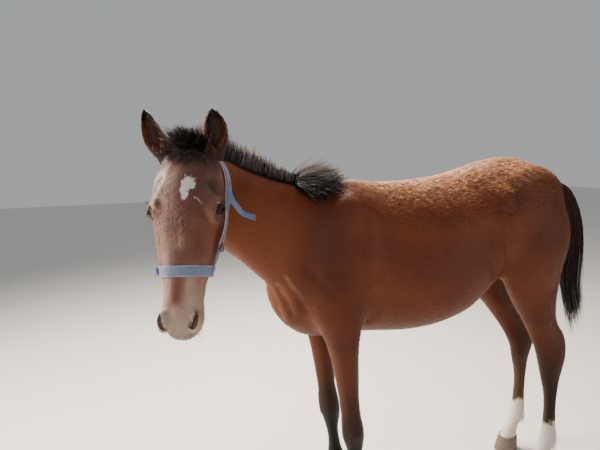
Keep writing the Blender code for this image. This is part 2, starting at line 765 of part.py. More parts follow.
def ear(name):
    """A cupped ear, open towards the way it faces."""
    foot, points, faces, length, bow, broad = EARS[name]
    foot = head_matrix() @ Vector(foot)
    turned = np.array(frame(points, faces).to_3x3())
    forward, side, up = turned[:, 0], turned[:, 1], turned[:, 2]
    at = np.linspace(-0.18, 1.0, 13)
    wide, deep, lean = read_smoothly(EAR_FORM, np.clip(at, 0.0, 1.0)).T
    wide = wide * (1.0 + broad * (1.0 - 2.0 * np.clip(at * 1.3, 0.0, 1.0)))
    outward = bow * np.sin(np.clip(at, 0.0, 1.0) * math.pi)
    centres = np.array(foot) + at[:, None] * length * up - lean[:, None] * forward
    centres = centres + outward[:, None] * side
    two = np.full(len(at), 2.0)
    across = np.tile(side, (len(at), 1))
    ahead = np.tile(forward, (len(at), 1))
    made = loft(name, centres, across, ahead, np.stack([deep, deep, wide, two, two], 1), 12)
    inside = (at > 0.13) & (at < 0.97)
    opened = np.clip((at - 0.05) / 0.35, 0.25, 1.0)
    narrow = ((wide - EAR_WALL) * opened)[inside]
    far = (deep * 1.9 - EAR_WALL)[inside]
    middle = (centres + 0.9 * deep[:, None] * forward)[inside]
    two = two[inside]
    sizes = np.stack([far, far, np.maximum(narrow, 0.001), two, two], 1)
    cup = loft("cup", middle, across[inside], ahead[inside], sizes, 12)
    return boolean(made, [cup], "DIFFERENCE")


def dock():
    table = np.column_stack([np.arange(len(DOCK)), np.array(DOCK)])
    steps = np.linspace(0, len(DOCK) - 1, 22)
    read = read_smoothly(table, steps)
    centres, radius = read[:, :3], read[:, 3]
    run = np.gradient(centres, axis=0)
    run /= np.linalg.norm(run, axis=1)[:, None]
    side = np.tile((0.0, 1.0, 0.0), (len(steps), 1))
    up = np.cross(side, run)
    two = np.full(len(steps), 2.0)
    return loft("tail", centres, side, up, np.stack([radius, radius, radius, two, two], 1), 16)


def lock(points, widths, flat_side):
    """One tapered, flattened lock of hair along its points, ending in a tip."""
    points = np.array(points, float)
    run = np.gradient(points, axis=0)
    shape = bmesh.new()
    rings = []
    for k, (point, width) in enumerate(zip(points[:-1], widths)):
        side = np.cross(run[k], flat_side)
        side /= np.linalg.norm(side)
        thick = np.cross(side, run[k])
        thick *= width * LOCK_FLATNESS / np.linalg.norm(thick)
        corners = (point + side * width / 2, point + thick / 2, point - side * width / 2, point - thick / 2)
        rings.append([shape.verts.new(p) for p in corners])
    for near, far in zip(rings, rings[1:]):
        for k in range(4):
            after = (k + 1) % 4
            shape.faces.new((near[k], near[after], far[after], far[k]))
    tip = shape.verts.new(points[-1])
    for k in range(4):
        shape.faces.new((rings[-1][k], rings[-1][(k + 1) % 4], tip))
    shape.faces.new(rings[0][::-1])
    bmesh.ops.recalc_face_normals(shape, faces=shape.faces)
    return mesh_object("lock", shape)


def hanging(root, direction, length, droop, steps=6, sink=0.007):
    """Points of a lock that leaves its root one way and bends over by its own weight."""
    direction = np.array(direction, float)
    direction /= np.linalg.norm(direction)
    root = np.array(root, float)
    points = [root - direction * sink, root]
    step = length / (steps - 1)
    heading = direction.copy()
    for k in range(steps - 1):
        heading = heading + np.array(droop) / (steps - 1)
        heading /= np.linalg.norm(heading)
        points.append(points[-1] + heading * step)
    return points


def taper(width, count):
    share = np.linspace(0.0, 1.0, count)
    return width * (1.0 - share**1.6) * (0.75 + 0.6 * np.sin(share * math.pi))


def mane(random):
    """Short upstanding locks along the crest, and a fan of longer ones over the withers."""
    centres, side, up, sizes = neck_frames(80)
    crest = centres + up * sizes[:, :1]
    made = [mane_core()]
    for k in range(MANE_LOCKS):
        share = (k + random.uniform(-0.3, 0.3)) / MANE_LOCKS
        at = 25 + max(0.0, share) * 49
        i = int(at)
        row = k % 2 - 0.5
        place = crest[i] + (crest[i + 1] - crest[i]) * (at - i) + side[i] * row * 0.014 - up[i] * 0.003
        length = MANE_LENGTHS[0] + (MANE_LENGTHS[1] - MANE_LENGTHS[0]) * share
        length *= random.uniform(0.80, 1.15)
        run = centres[i + 1] - centres[i]
        run = run / np.linalg.norm(run)
        lean = up[i] + side[i] * (row * 0.20 + random.uniform(-0.08, 0.08)) - run * random.uniform(-0.15, 0.65)
        droop = np.array((0.0, -0.20, -0.20)) * random.uniform(0.3, 1.4)
        points = hanging(place, lean, length, droop, 4)
        flat = side[i] + run * random.uniform(-0.30, 0.30)
        made.append(lock(points, taper(MANE_WIDTH * random.uniform(0.8, 1.15), 6), flat))
    for k in range(WITHERS_LOCKS):
        share = (k + 0.5) / WITHERS_LOCKS
        at = 13 + share * 14
        i = int(at)
        place = crest[i] + (crest[i + 1] - crest[i]) * (at - i)
        spread = random.uniform(-0.4, 1.0)
        place = place + side[i] * (0.010 - 0.020 * spread) - up[i] * (0.004 + 0.006 * abs(spread))
        lean = np.array((0.75 - 0.5 * spread, -0.2 - 0.9 * spread, 0.75 - 0.9 * spread))
        length = random.uniform(0.085, 0.115)
        droop = np.array((0.25, -0.12, -0.30)) * random.uniform(0.5, 1.2)
        flat = (0.2, -1.0, 0.4) if spread > 0.4 else (0.2, -0.8, 0.9)
        made.append(lock(hanging(place, lean, length, droop, 5), taper(MANE_WIDTH * 0.9, 7), flat))
    return made


def forelock(random):
    made = [forelock_core()]
    turned = head_matrix()
    for k in range(FORELOCK_LOCKS):
        share = (k + random.uniform(0.0, 0.6)) / FORELOCK_LOCKS
        across = (0.030 - 0.008 * share) * math.sin(k * 2.4)
        root = turned @ Vector((-0.022 + 0.052 * share, across, 0.004 - 0.016 * (1 - share) ** 2 - 7 * across**2))
        lean = Vector((-0.75 + 1.35 * share, across * 8 + random.uniform(-0.1, 0.1), 0.70))
        lean = turned.to_3x3() @ lean
        droop = np.array((0.0, -0.35, -0.35)) * random.uniform(0.6, 1.3)
        points = hanging(root, lean, random.uniform(0.048, 0.060), droop, 5)
        flat = np.array(turned.to_3x3() @ Vector((0.3, random.uniform(-0.4, 0.4), 1.0)))
        made.append(lock(points, taper(FORELOCK_WIDTH, 7), flat))
    return made


def tail_locks(random):
    table = np.column_stack([np.arange(len(DOCK)), np.array(DOCK)])
    made = [tail_core()]
    for k in range(TAIL_LOCKS):
        share = (k + random.uniform(0.0, 0.8)) / TAIL_LOCKS
        step = 1.9 + share * 3.7
        x, y, z, radius = read_smoothly(table, [step])[0]
        turn = k * 2.4 + random.uniform(-0.3, 0.3)
        outward = np.array((math.cos(turn), math.sin(turn), 0.0))
        root = np.array((x, y, z)) + outward * radius * 0.75
        lean = np.array((0.12, 0.0, -0.90)) + outward * np.array((0.26, 0.26, 0.0))
        bottom = random.uniform(0.58, 0.74)
        length = (z - bottom) * random.uniform(0.94, 1.02)
        droop = (-0.02 - 0.05 * math.cos(turn), -0.03 - 0.05 * math.sin(turn), -1.6)
        flat = outward + np.array((0.2, random.uniform(-0.5, 0.5), 0.0))
        points = hanging(root, lean, length, droop, 6)
        made.append(lock(points, taper(TAIL_WIDTH * random.uniform(0.8, 1.1), 8), flat))
    return made


def coronet_block(x, y, gap, above):
    """A block on one side of the sloping coronet: above it (1) or below it (-1)."""
    tilt = Vector(CORONET_TILT).normalized()
    place = Vector((x, y, CORONET_HEIGHT - 0.012)) + tilt * (gap + above * 0.15)
    return slab(place, tilt, (0.0, 1.0, 0.0), 0.2, 0.07, 0.3)


def mane_core():
    """The dense foot of the standing mane, one low ridge along the crest."""
    centres, side, up, sizes = neck_frames(80)
    crest = (centres + up * (sizes[:, :1] - 0.004))[14:76]
    side, up = side[14:76], up[14:76]
    share = np.linspace(0.0, 1.0, len(crest))
    height = 0.046 * np.clip(share / 0.12, 0.1, 1.0) + 0.008 * share
    ends = np.sqrt(np.clip(1.0 - (2.0 * share - 1.0) ** 8, 0.02, 1.0))
    two = np.full(len(crest), 1.7)
    sizes = np.stack([height * ends, 0.014 + 0 * height, 0.016 * ends, two, two], 1)
    return loft("mane", crest[::4], side[::4], up[::4], sizes[::4], 10)


def forelock_core():
    place = head_matrix() @ Vector((-0.006, 0.0, 0.006))
    return ball("forelock", place, (0.026, 0.028, 0.032), Matrix(), 12, 8)


def tail_core():
    """The dense middle of the tail's hair, from the dock to above the tips."""
    table = np.array(TAIL_FORM)
    read = read_smoothly(np.column_stack([np.arange(len(table)), table]), np.linspace(0, len(table) - 1, 15))
    centres, deep, wide = read[:, :3], read[:, 3] * 0.72, read[:, 4] * 0.72
    side = np.tile((0.0, 1.0, 0.0), (len(centres), 1))
    run = np.gradient(centres, axis=0)
    run /= np.linalg.norm(run, axis=1)[:, None]
    two = np.full(len(centres), 2.0)
    return loft("hair", centres, side, np.cross(side, run), np.stack([deep, deep, wide, two, two], 1), 12)


def hoof(name, leg_name):
    """A hoof with a flat sole, sloping forward from the coronet."""
    x, y = foot_place(leg_name)
    rows = (
        (0.0000, -0.058, 0.040, 0.0400),
        (0.0200, -0.052, 0.041, 0.0385),
        (0.0400, -0.045, 0.041, 0.0365),
        (0.0560, -0.040, 0.040, 0.0345),
        (0.0640, -0.039, 0.038, 0.0330),
    )
    at = np.array([row[0] for row in rows])
    front, back, wide = np.array([row[1:] for row in rows]).T
    centres = np.stack([x + (front + back) / 2, y + at * 0, at], 1)
    across = np.tile((0.0, 1.0, 0.0), (len(at), 1))
    forward = np.tile((-1.0, 0.0, 0.0), (len(at), 1))
    half = (back - front) / 2
    two = np.full(len(at), 2.3)
    made = loft(name, centres, across, forward, np.stack([half, half, wide, two, two], 1), 22)
    above = coronet_block(x, y, 0.0, 1)
    return boolean(made, [above], "DIFFERENCE")


def foot_place(leg_name):
    """Where the middle of the leg stands at the coronet."""
    table, side, shifts, inward = LEGS[leg_name]
    front, back, apart, wide = read_smoothly(table, [CORONET_HEIGHT])[0]
    middle = (front + back) / 2 + leg_shift([CORONET_HEIGHT], shifts)[0]
    return middle, side * (apart - inward)


def web(name, rows, closed=False):
    """Webbing from rows of three points across it: those on the inner face and those on the outer."""
    shape = bmesh.new()
    rings = []
    for inner, outer in rows:
        corners = list(inner) + list(outer)[::-1]
        rings.append([shape.verts.new(p) for p in corners])
    pairs = list(zip(rings, rings[1:]))
    if closed:
        pairs.append((rings[-1], rings[0]))
    for near, far in pairs:
        for k in range(len(near)):
            after = (k + 1) % len(near)
            shape.faces.new((near[k], near[after], far[after], far[k]))
    if not closed:
        shape.faces.new(rings[0][::-1])
        shape.faces.new(rings[-1])
    bmesh.ops.recalc_face_normals(shape, faces=shape.faces)
    return mesh_object(name, shape)


def copied(made):
    copy = bpy.data.objects.new(made.name + " copy", made.data.copy())
    bpy.context.scene.collection.objects.link(copy)
    return copy


def surface_of(first, second):
    """Something to drape webbing over: the outer skin of two nodes together."""
    whole = boolean(copied(first), [copied(second)], "UNION")
    corners = [vertex.co.copy() for vertex in whole.data.vertices]
    faces = [list(face.vertices) for face in whole.data.polygons]
    bpy.data.objects.remove(whole)
    return BVHTree.FromPolygons(corners, faces)


def smooth_path(points, spacing):
    """Points spaced evenly on one smooth curve through those given."""
    points = np.array(points, float)
    rows = np.column_stack([np.arange(len(points)), points])
    fine = read_smoothly(rows, np.linspace(0, len(points) - 1, 400))
    run = np.concatenate([[0.0], np.cumsum(np.linalg.norm(np.diff(fine, axis=0), axis=1))])
    count = max(3, int(run[-1] / spacing) + 1)
    wanted = np.linspace(0.0, run[-1], count)
    return np.stack([np.interp(wanted, run, fine[:, k]) for k in range(3)], 1)


def draped(name, path, width, skin, lifts):
    """Webbing laid on the skin along a path, lifted off it by so much at each point."""
    path = np.array(path)
    run = np.gradient(path, axis=0)
    rows = []
    for point, along_here, lift in zip(path, run, lifts):
        place, normal, _, _ = skin.find_nearest(Vector(point))
        side = Vector(along_here).cross(normal).normalized()
        inner, outer = [], []
        for share in (-0.5, 0.0, 0.5):
            on_skin, away, _, _ = skin.find_nearest(place + side * share * width)
            away = (away + normal).normalized()
            inner.append(on_skin + away * lift)
            outer.append(on_skin + away * (lift + WEB_THICKNESS))
        rows.append((inner, outer))
    return web(name, rows)


def noseband(skin):
    """A closed loop round the nose that hangs slack under the jaw."""
    turned = head_matrix() @ Matrix.Translation(NOSEBAND_PLACE) @ frame(NOSEBAND_FACES, (0.0, 1.0, 0.0))
    middle = turned.translation
    axes = turned.to_3x3()
    faces, left = axes.col[2].normalized(), axes.col[0].normalized()
    front = faces.cross(left)
    if front.dot(head_matrix().to_3x3().col[2]) < 0:
        front = -front
    rows = []
    count = 36
    for k in range(count):
        turn = k * 2 * math.pi / count
        outward = left * math.cos(turn) + front * math.sin(turn)
        slack = NOSEBAND_SLACK * (max(0.0, -math.sin(turn) - 0.45) / 0.55) ** 1.3
        inner, outer = [], []
        for share in (-0.5, 0.0, 0.5):
            start = middle + faces * share * WEB_WIDTH
            hit = skin.ray_cast(start + outward * 0.25, -outward)[0]
            reach = (hit - start).dot(outward) + WEB_LIFT + slack
            inner.append(start + outward * reach)
            outer.append(start + outward * (reach + WEB_THICKNESS))
        rows.append((inner, outer))
    return web("noseband", rows, True)


def headpiece(skin):
    """The cheek straps and the crown behind the ears, in one length from one side to the other."""
    half = [mirrored(p, 1) for p in HEADPIECE]
    other = [mirrored(p, -1) for p in HEADPIECE[-2::-1]]
    path = smooth_path([head_matrix() @ p for p in half + other], HEADPIECE_STEP)
    count = len(path)
    lifts = []
    for k in range(count):
        from_end = min(k, count - 1 - k) * HEADPIECE_STEP
        over_noseband = 1.0 - min(1.0, max(0.0, (from_end - 0.030) / 0.020))
        lifts.append(WEB_LIFT + LAYER * over_noseband)
    return draped("headpiece", path, HEADPIECE_WIDTH, skin, lifts)


def loose_end():
    path = smooth_path(LOOSE_END, 0.010)
    run = np.gradient(path, axis=0)
    towards = np.array((-0.15, -0.95, 0.25))
    rows = []
    for k, (point, along_here) in enumerate(zip(path, run)):
        side = np.cross(along_here, towards)
        side /= np.linalg.norm(side)
        lift = np.cross(side, along_here)
        lift *= WEB_THICKNESS / np.linalg.norm(lift)
        half_width = LOOSE_WIDTH / 2 - 0.0005 * max(0, 2 - k)
        across = [point + side * half_width * s for s in (-1.0, 0.0, 1.0)]
        rows.append((across, [p + lift for p in across]))
    return web("loose_strap_end", rows)


def halter(skin):
    """The noseband, headpiece, a small ring, the knot on the right and the loose end."""
    made = [noseband(skin), headpiece(skin), loose_end()]
    place, normal, _, _ = skin.find_nearest(head_matrix() @ Vector(RING_PLACE))
    bpy.ops.mesh.primitive_torus_add(
        major_radius=RING_RADIUS, minor_radius=RING_TUBE, major_segments=14, minor_segments=5
    )
    ring = bpy.context.object
    ring.name = "halter_ring"
    lifted = place + normal * (WEB_LIFT + WEB_THICKNESS + RING_TUBE + 0.0014)
    ring.data.transform(Matrix.Translation(lifted) @ frame(normal, (1.0, 0.0, 0.0)))
    made.append(ring)
    place, normal, _, _ = skin.find_nearest(head_matrix() @ Vector(KNOT_PLACE))
    lifted = place + normal * (WEB_LIFT + LAYER + 0.0062)
    made.append(ball("strap_knot", lifted, (0.008, 0.010, 0.0040), frame(normal, (1.0, 0.0, 0.0)), 10, 6))
    return made


def part_flesh(body):
    """Cuts the body where its parts meet and names each piece."""
    cutters = [slab(place, faces, (1.0, 0.0, 0.0), long, wide) for place, faces, long, wide in PARTINGS]
    for cutter in cutters:
        cutter.hide_render = True
    boolean(body, cutters, "DIFFERENCE")
    shape = bmesh.new()
    shape.from_mesh(body.data)
    found = sorted(shells(shape), key=len)[-len(FLESH):]
    pieces = {}
    for name, place in FLESH.items():
        def distance(group):
            middles = [face.calc_center_median() for face in group[:: max(1, len(group) // 200)]]
            return (sum(middles, Vector()) / len(middles) - Vector(place)).length
        pieces[name] = min(found, key=distance)
    made = []
    for name, group in pieces.items():
        index = {}
        part = bmesh.new()
        for face in group:
            corners = []
            for vertex in face.verts:
                if vertex.index not in index:
                    index[vertex.index] = part.verts.new(vertex.co)
                corners.append(index[vertex.index])
            part.faces.new(corners)
        made.append(mesh_object(name, part))
    shape.free()
    bpy.data.objects.remove(body)
    return made


def cut_clear(made, neighbours, gap=CUT):
    """Cuts a node clear of its neighbours and drops any scrap that falls loose."""
    boolean(made, [swollen(other, gap) for other in neighbours], "DIFFERENCE")
    keep_largest(made)


def material(name):
    made = bpy.data.materials.get(name)
    if made:
        return made
    made = bpy.data.materials.new(name)
    made.use_nodes = True
    red, green, blue, roughness, metallic = COLOURS[name]
    shader = made.node_tree.nodes["Principled BSDF"]
    shader.inputs["Base Color"].default_value = (red, green, blue, 1.0)
    shader.inputs["Roughness"].default_value = roughness
    shader.inputs["Metallic"].default_value = metallic
    made.diffuse_color = (red, green, blue, 1.0)
    return made


def finish_all():
    """Gives every node its material and place, and gathers them in one collection."""
    group = bpy.data.collections.new("young horse")
    bpy.context.scene.collection.children.link(group)
    for made in list(bpy.data.objects):
        for holder in list(made.users_collection):
            holder.objects.unlink(made)
        group.objects.link(made)
        made.data.materials.clear()
        made.data.materials.append(material(MATERIAL_OF.get(made.name, "bay_coat")))
        made.data.transform(Matrix.Translation(ORIGIN_SHIFT))
        for face in made.data.polygons:
            face.material_index = 0
        made.data.shade_smooth()


def main():
    clear_scene()
    random = np.random.default_rng(7)
    body = body_skin()
    thinned(body, BODY_TRIANGLES)
    head = head_skin()
    thinned(head, HEAD_TRIANGLES)
    carve_face(head)
    keep_largest(head)
    eye("eye_left", 1)
    eye("eye_right", -1)
    skin = surface_of(head, body)
    ears = [ear(name) for name in EARS]
    straps = halter(skin)
    fuse_locks(head, forelock(random))
    cut_clear(head, straps[1:2], 0.0008)
    for made in ears:
        cut_clear(made, [head])
    fuse_locks(body, mane(random))
    cut_clear(body, [head] + ears)
    cut_clear(body, straps[1:2], 0.0015)
    tail = dock()
    fuse_locks(tail, tail_locks(random))
    cut_clear(tail, [body])
    flesh = part_flesh(body)
    for name in LEGS:
        foot = name.replace("leg", "").split("_")
        hoof("hoof_" + "_".join(foot), name)
    trim_feet(flesh)
    finish_all()


def trim_feet(flesh):
    """Ends each leg just above its hoof, along the slope of the coronet."""
    for made in flesh:
        if made.name in LEGS:
            x, y = foot_place(made.name)
            boolean(made, [coronet_block(x, y, CUT, -1)], "DIFFERENCE")
            keep_largest(made)


main()
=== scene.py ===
"""The looks of a still, life-size young bay horse in a webbing halter.

Everything is shaped in the solids' own frame before it is moved over the origin: metres, +Z up, the horse
facing -X with its left side towards -Y. The head is shaped in a frame of its own: x runs from the poll down
the face, y to the horse's left and z out of the face.
"""

import math

import bmesh
import bpy
import numpy as np
from mathutils import Matrix, Vector
from mathutils.bvhtree import BVHTree
from mathutils.kdtree import KDTree


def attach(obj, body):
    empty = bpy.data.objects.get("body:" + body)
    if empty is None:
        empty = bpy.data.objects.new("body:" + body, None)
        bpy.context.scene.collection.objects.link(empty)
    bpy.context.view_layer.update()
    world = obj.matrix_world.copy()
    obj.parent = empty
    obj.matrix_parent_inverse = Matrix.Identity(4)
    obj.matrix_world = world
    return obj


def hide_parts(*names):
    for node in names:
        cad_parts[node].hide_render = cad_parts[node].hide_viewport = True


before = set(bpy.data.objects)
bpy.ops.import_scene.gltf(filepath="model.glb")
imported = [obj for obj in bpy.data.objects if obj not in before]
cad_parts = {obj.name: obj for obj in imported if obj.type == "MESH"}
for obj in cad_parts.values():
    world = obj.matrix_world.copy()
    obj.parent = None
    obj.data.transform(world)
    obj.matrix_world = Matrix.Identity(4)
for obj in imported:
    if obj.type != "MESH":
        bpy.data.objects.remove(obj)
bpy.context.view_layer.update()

# The skin's fineness, and how deep it lies under the surface of the coat on the body, head and ears.
RING_POINTS = 48
BODY_VOXEL = 0.0088
HEAD_VOXEL = 0.0030
COAT_DEPTH = (0.0035, 0.0014, 0.0006)
EYE_GAP = 0.0005

# Driving sizes of the whole animal, nearly the same as in the solids.
HEAD_LENGTH = 0.4573
EYE_RADIUS = 0.0220
CORONET_HEIGHT = 0.062
CORONET_TILT = (0.24, 0.0, 1.0)

# Moves the finished model so that the middle of its box stands over the origin.
ORIGIN_SHIFT = (0.0708, 0.1108, 0.0)

# The trunk, rump first: x, top, bottom, height of the widest place, half width, fullness above and below.
TRUNK = (
    (0.600, 1.125, 1.030, 1.075, 0.028, 2.0, 2.0),
    (0.580, 1.158, 0.975, 1.060, 0.060, 2.0, 2.0),
    (0.530, 1.198, 0.905, 1.040, 0.105, 2.0, 2.0),
    (0.450, 1.240, 0.892, 1.020, 0.145, 2.0, 2.0),
    (0.340, 1.256, 0.870, 1.000, 0.166, 2.1, 2.0),
    (0.250, 1.241, 0.768, 0.975, 0.172, 2.0, 2.0),
    (0.180, 1.222, 0.706, 0.945, 0.178, 2.0, 2.1),
    (0.100, 1.202, 0.676, 0.915, 0.186, 2.0, 2.1),
    (0.020, 1.191, 0.660, 0.900, 0.187, 2.0, 2.1),
    (-0.080, 1.184, 0.656, 0.900, 0.176, 2.0, 2.1),
    (-0.170, 1.188, 0.662, 0.900, 0.157, 1.9, 2.0),
    (-0.240, 1.200, 0.668, 0.900, 0.140, 1.7, 2.0),
    (-0.320, 1.192, 0.664, 0.900, 0.128, 1.6, 2.0),
    (-0.400, 1.130, 0.672, 0.890, 0.118, 1.8, 2.0),
    (-0.460, 1.050, 0.694, 0.870, 0.102, 2.0, 2.0),
    (-0.510, 0.975, 0.745, 0.858, 0.078, 2.0, 2.0),
    (-0.540, 0.925, 0.790, 0.855, 0.048, 2.0, 2.0),
    (-0.550, 0.890, 0.820, 0.855, 0.022, 2.0, 2.0),
)

# The neck from the shoulder to the head: centre x, y, z, reach to crest and underside, half width, fullness.
NECK = (
    (-0.200, 0.000, 0.985, 0.190, 0.240, 0.115, 1.8, 2.0),
    (-0.340, 0.000, 0.990, 0.188, 0.220, 0.105, 1.8, 2.0),
    (-0.460, -0.010, 1.030, 0.172, 0.190, 0.086, 1.8, 2.0),
    (-0.570, -0.045, 1.085, 0.143, 0.152, 0.071, 1.8, 2.0),
    (-0.665, -0.105, 1.140, 0.123, 0.134, 0.063, 1.9, 2.0),
    (-0.735, -0.175, 1.185, 0.108, 0.124, 0.060, 2.0, 2.0),
    (-0.775, -0.235, 1.215, 0.085, 0.100, 0.058, 2.0, 2.0),
)

# A foreleg by height: z, front, back, distance of its middle from the midline, half width.
FORELEG = (
    (0.940, -0.440, -0.250, 0.075, 0.040),
    (0.860, -0.455, -0.238, 0.092, 0.052),
    (0.780, -0.435, -0.244, 0.102, 0.056),
    (0.730, -0.410, -0.254, 0.105, 0.052),
    (0.680, -0.388, -0.264, 0.105, 0.046),
    (0.620, -0.370, -0.268, 0.103, 0.041),
    (0.560, -0.356, -0.267, 0.101, 0.036),
    (0.480, -0.341, -0.265, 0.098, 0.032),
    (0.420, -0.333, -0.259, 0.096, 0.032),
    (0.375, -0.330, -0.250, 0.095, 0.036),
    (0.340, -0.327, -0.245, 0.094, 0.036),
    (0.310, -0.319, -0.247, 0.093, 0.030),
    (0.265, -0.306, -0.253, 0.092, 0.0245),
    (0.205, -0.298, -0.247, 0.090, 0.0235),
    (0.168, -0.300, -0.237, 0.089, 0.0290),
    (0.142, -0.303, -0.230, 0.088, 0.0310),
    (0.115, -0.308, -0.241, 0.088, 0.0270),
    (0.088, -0.318, -0.251, 0.088, 0.0260),
    (0.062, -0.330, -0.254, 0.088, 0.0320),
    (0.030, -0.336, -0.254, 0.088, 0.0340),
)

# A hind leg by height, as above.
HINDLEG = (
    (1.130, 0.360, 0.520, 0.080, 0.058),
    (1.050, 0.310, 0.566, 0.092, 0.070),
    (0.970, 0.280, 0.575, 0.102, 0.078),
    (0.900, 0.275, 0.556, 0.108, 0.075),
    (0.850, 0.280, 0.538, 0.111, 0.068),
    (0.790, 0.298, 0.530, 0.113, 0.058),
    (0.720, 0.338, 0.524, 0.112, 0.050),
    (0.650, 0.386, 0.535, 0.110, 0.042),
    (0.590, 0.420, 0.574, 0.108, 0.035),
    (0.550, 0.442, 0.590, 0.107, 0.032),
    (0.490, 0.466, 0.592, 0.105, 0.036),
    (0.450, 0.479, 0.582, 0.104, 0.034),
    (0.410, 0.489, 0.573, 0.104, 0.029),
    (0.350, 0.507, 0.567, 0.102, 0.0255),
    (0.250, 0.515, 0.568, 0.100, 0.0245),
    (0.200, 0.513, 0.573, 0.099, 0.0270),
    (0.165, 0.508, 0.577, 0.099, 0.0310),
    (0.132, 0.498, 0.566, 0.099, 0.0290),
    (0.100, 0.484, 0.550, 0.099, 0.0265),
    (0.062, 0.468, 0.545, 0.099, 0.0320),
    (0.030, 0.460, 0.545, 0.099, 0.0340),
)

# Each leg: table, side (-1 is the left), how far back (+) or forward (-) it stands at the top, middle
# joint and foot, and how far it stands in from its own side.
LEGS = {
    "foreleg_left": (FORELEG, -1, (0.0, 0.0, 0.0), 0.0),
    "foreleg_right": (FORELEG, 1, (0.0, -0.012, -0.012), 0.0),
    "hindleg_left": (HINDLEG, -1, (0.0, 0.0, 0.0), 0.0),
    "hindleg_right": (HINDLEG, 1, (-0.050, 0.044, 0.010), 0.008),
}
LEG_BEND_HEIGHTS = (0.90, 0.47, 0.0)

# Muscles and bones that swell the trunk: place on the left side, half sizes, and turn about the Y axis.
MASSES = (
    ("shoulder blade", (-0.345, 0.060, 1.000), (0.085, 0.058, 0.180), 32),
    ("shoulder point", (-0.450, 0.066, 0.890), (0.070, 0.050, 0.090), 0),
    ("triceps", (-0.300, 0.088, 0.850), (0.095, 0.050, 0.110), -25),
    ("breast", (-0.452, 0.038, 0.812), (0.064, 0.056, 0.098), 20),
    ("hip point", (0.262, 0.112, 1.110), (0.075, 0.045, 0.060), 0),
    ("rump", (0.380, 0.075, 1.100), (0.180, 0.085, 0.130), -8),
    ("buttock", (0.515, 0.058, 1.030), (0.070, 0.060, 0.115), 15),
    ("stifle", (0.322, 0.112, 0.884), (0.048, 0.050, 0.064), 20),
)

# The head along the face: distance from the poll, top, bottom, height of the widest place, half width,
# fullness above and below.
SKULL = (
    (-0.030, -0.030, -0.110, -0.065, 0.030, 2.0, 2.0),
    (0.000, 0.000, -0.140, -0.060, 0.064, 2.0, 2.0),
    (0.050, 0.014, -0.150, -0.055, 0.082, 2.1, 2.0),
    (0.100, 0.018, -0.150, -0.054, 0.092, 2.3, 2.0),
    (0.150, 0.012, -0.145, -0.052, 0.090, 2.4, 2.0),
    (0.200, 0.001, -0.140, -0.054, 0.082, 2.5, 2.0),
    (0.250, -0.010, -0.135, -0.060, 0.073, 2.4, 2.0),
    (0.300, -0.017, -0.128, -0.066, 0.062, 2.3, 2.1),
    (0.350, -0.024, -0.122, -0.070, 0.052, 2.2, 2.1),
    (0.395, -0.031, -0.120, -0.074, 0.050, 2.2, 2.1),
    (0.430, -0.040, -0.122, -0.080, 0.051, 2.2, 2.1),
    (0.455, -0.054, -0.118, -0.086, 0.039, 2.0, 2.0),
    (0.471, -0.074, -0.106, -0.090, 0.020, 2.0, 2.0),
)
# The lower jaw, as above.
JAW = (
    (0.020, -0.080, -0.165, -0.120, 0.030, 2.0, 2.0),
    (0.040, -0.060, -0.190, -0.120, 0.064, 2.0, 2.0),
    (0.090, -0.040, -0.205, -0.120, 0.083, 2.0, 1.9),
    (0.150, -0.040, -0.202, -0.115, 0.088, 2.0, 1.8),
    (0.210, -0.050, -0.182, -0.110, 0.082, 2.0, 1.8),
    (0.270, -0.060, -0.158, -0.110, 0.067, 2.0, 1.9),
    (0.330, -0.070, -0.142, -0.108, 0.046, 2.0, 2.0),
    (0.390, -0.080, -0.138, -0.110, 0.037, 2.0, 2.0),
    (0.424, -0.090, -0.141, -0.116, 0.035, 2.0, 2.0),
    (0.447, -0.100, -0.134, -0.118, 0.023, 2.0, 2.0),
)

# Where the head is held: the poll, the slope of the face below level, and the turn from -Y towards -X.
POLL = (-0.791, -0.236, 1.301)
FACE_SLOPE = math.radians(62)
FACE_TURN = math.radians(18)

# The left eye in the head's frame: its middle, the way it looks, and the way towards its inner corner.
EYE_PLACE = (0.162, 0.0730, -0.0350)
EYE_LOOKS = (0.02, 0.79, 0.61)
EYE_INNER_CORNER = (0.74, -0.44, 0.46)
# The opening between the lids: half its length, and how far the upper and lower lids stand apart.
LID_OPENING = (0.0225, 0.0122, 0.0108)
LID_THICKNESS = 0.0028

# The left nostril in the head's frame: middle, half sizes, and the way it opens.
NOSTRIL_PLACE = (0.436, 0.0385, -0.0430)
NOSTRIL_SIZE = (0.0195, 0.0044, 0.0140)
NOSTRIL_OPENS = (0.25, 0.76, 0.60)

# The line of the mouth on the left half, from its corner to the front of the lips, in the head's frame.
MOUTH_LINE = (
    (0.392, 0.046, -0.098),
    (0.413, 0.047, -0.103),
    (0.436, 0.042, -0.106),
    (0.456, 0.028, -0.109),
    (0.467, 0.000, -0.111),
)

# Each ear: foot in the head's frame, the way it points and the way its cup faces in the world, length,
# how far its middle bows to the side, and how much broader its lower third is than its upper.
EARS = {
    "ear_left": ((0.002, 0.066, -0.036), (-0.035, -0.060, 1.0), (0.10, -1.0, 0.0), 0.111, 0.006, 0.0),
    "ear_right": ((0.006, -0.062, -0.034), (-0.400, -0.030, 1.0), (-0.62, -0.78, 0.0), 0.122, -0.012, 0.26),
}
# The ear's sections: share of its length, half width, half depth, and how far it leans back.
EAR_FORM = (
    (0.00, 0.0200, 0.0190, 0.000),
    (0.12, 0.0235, 0.0205, 0.001),
    (0.28, 0.0295, 0.0205, 0.003),
    (0.48, 0.0325, 0.0190, 0.005),
    (0.68, 0.0295, 0.0165, 0.005),
    (0.84, 0.0210, 0.0120, 0.002),
    (0.94, 0.0120, 0.0075, -0.001),
    (1.00, 0.0035, 0.0030, -0.003),
)
EAR_WALL = 0.0036

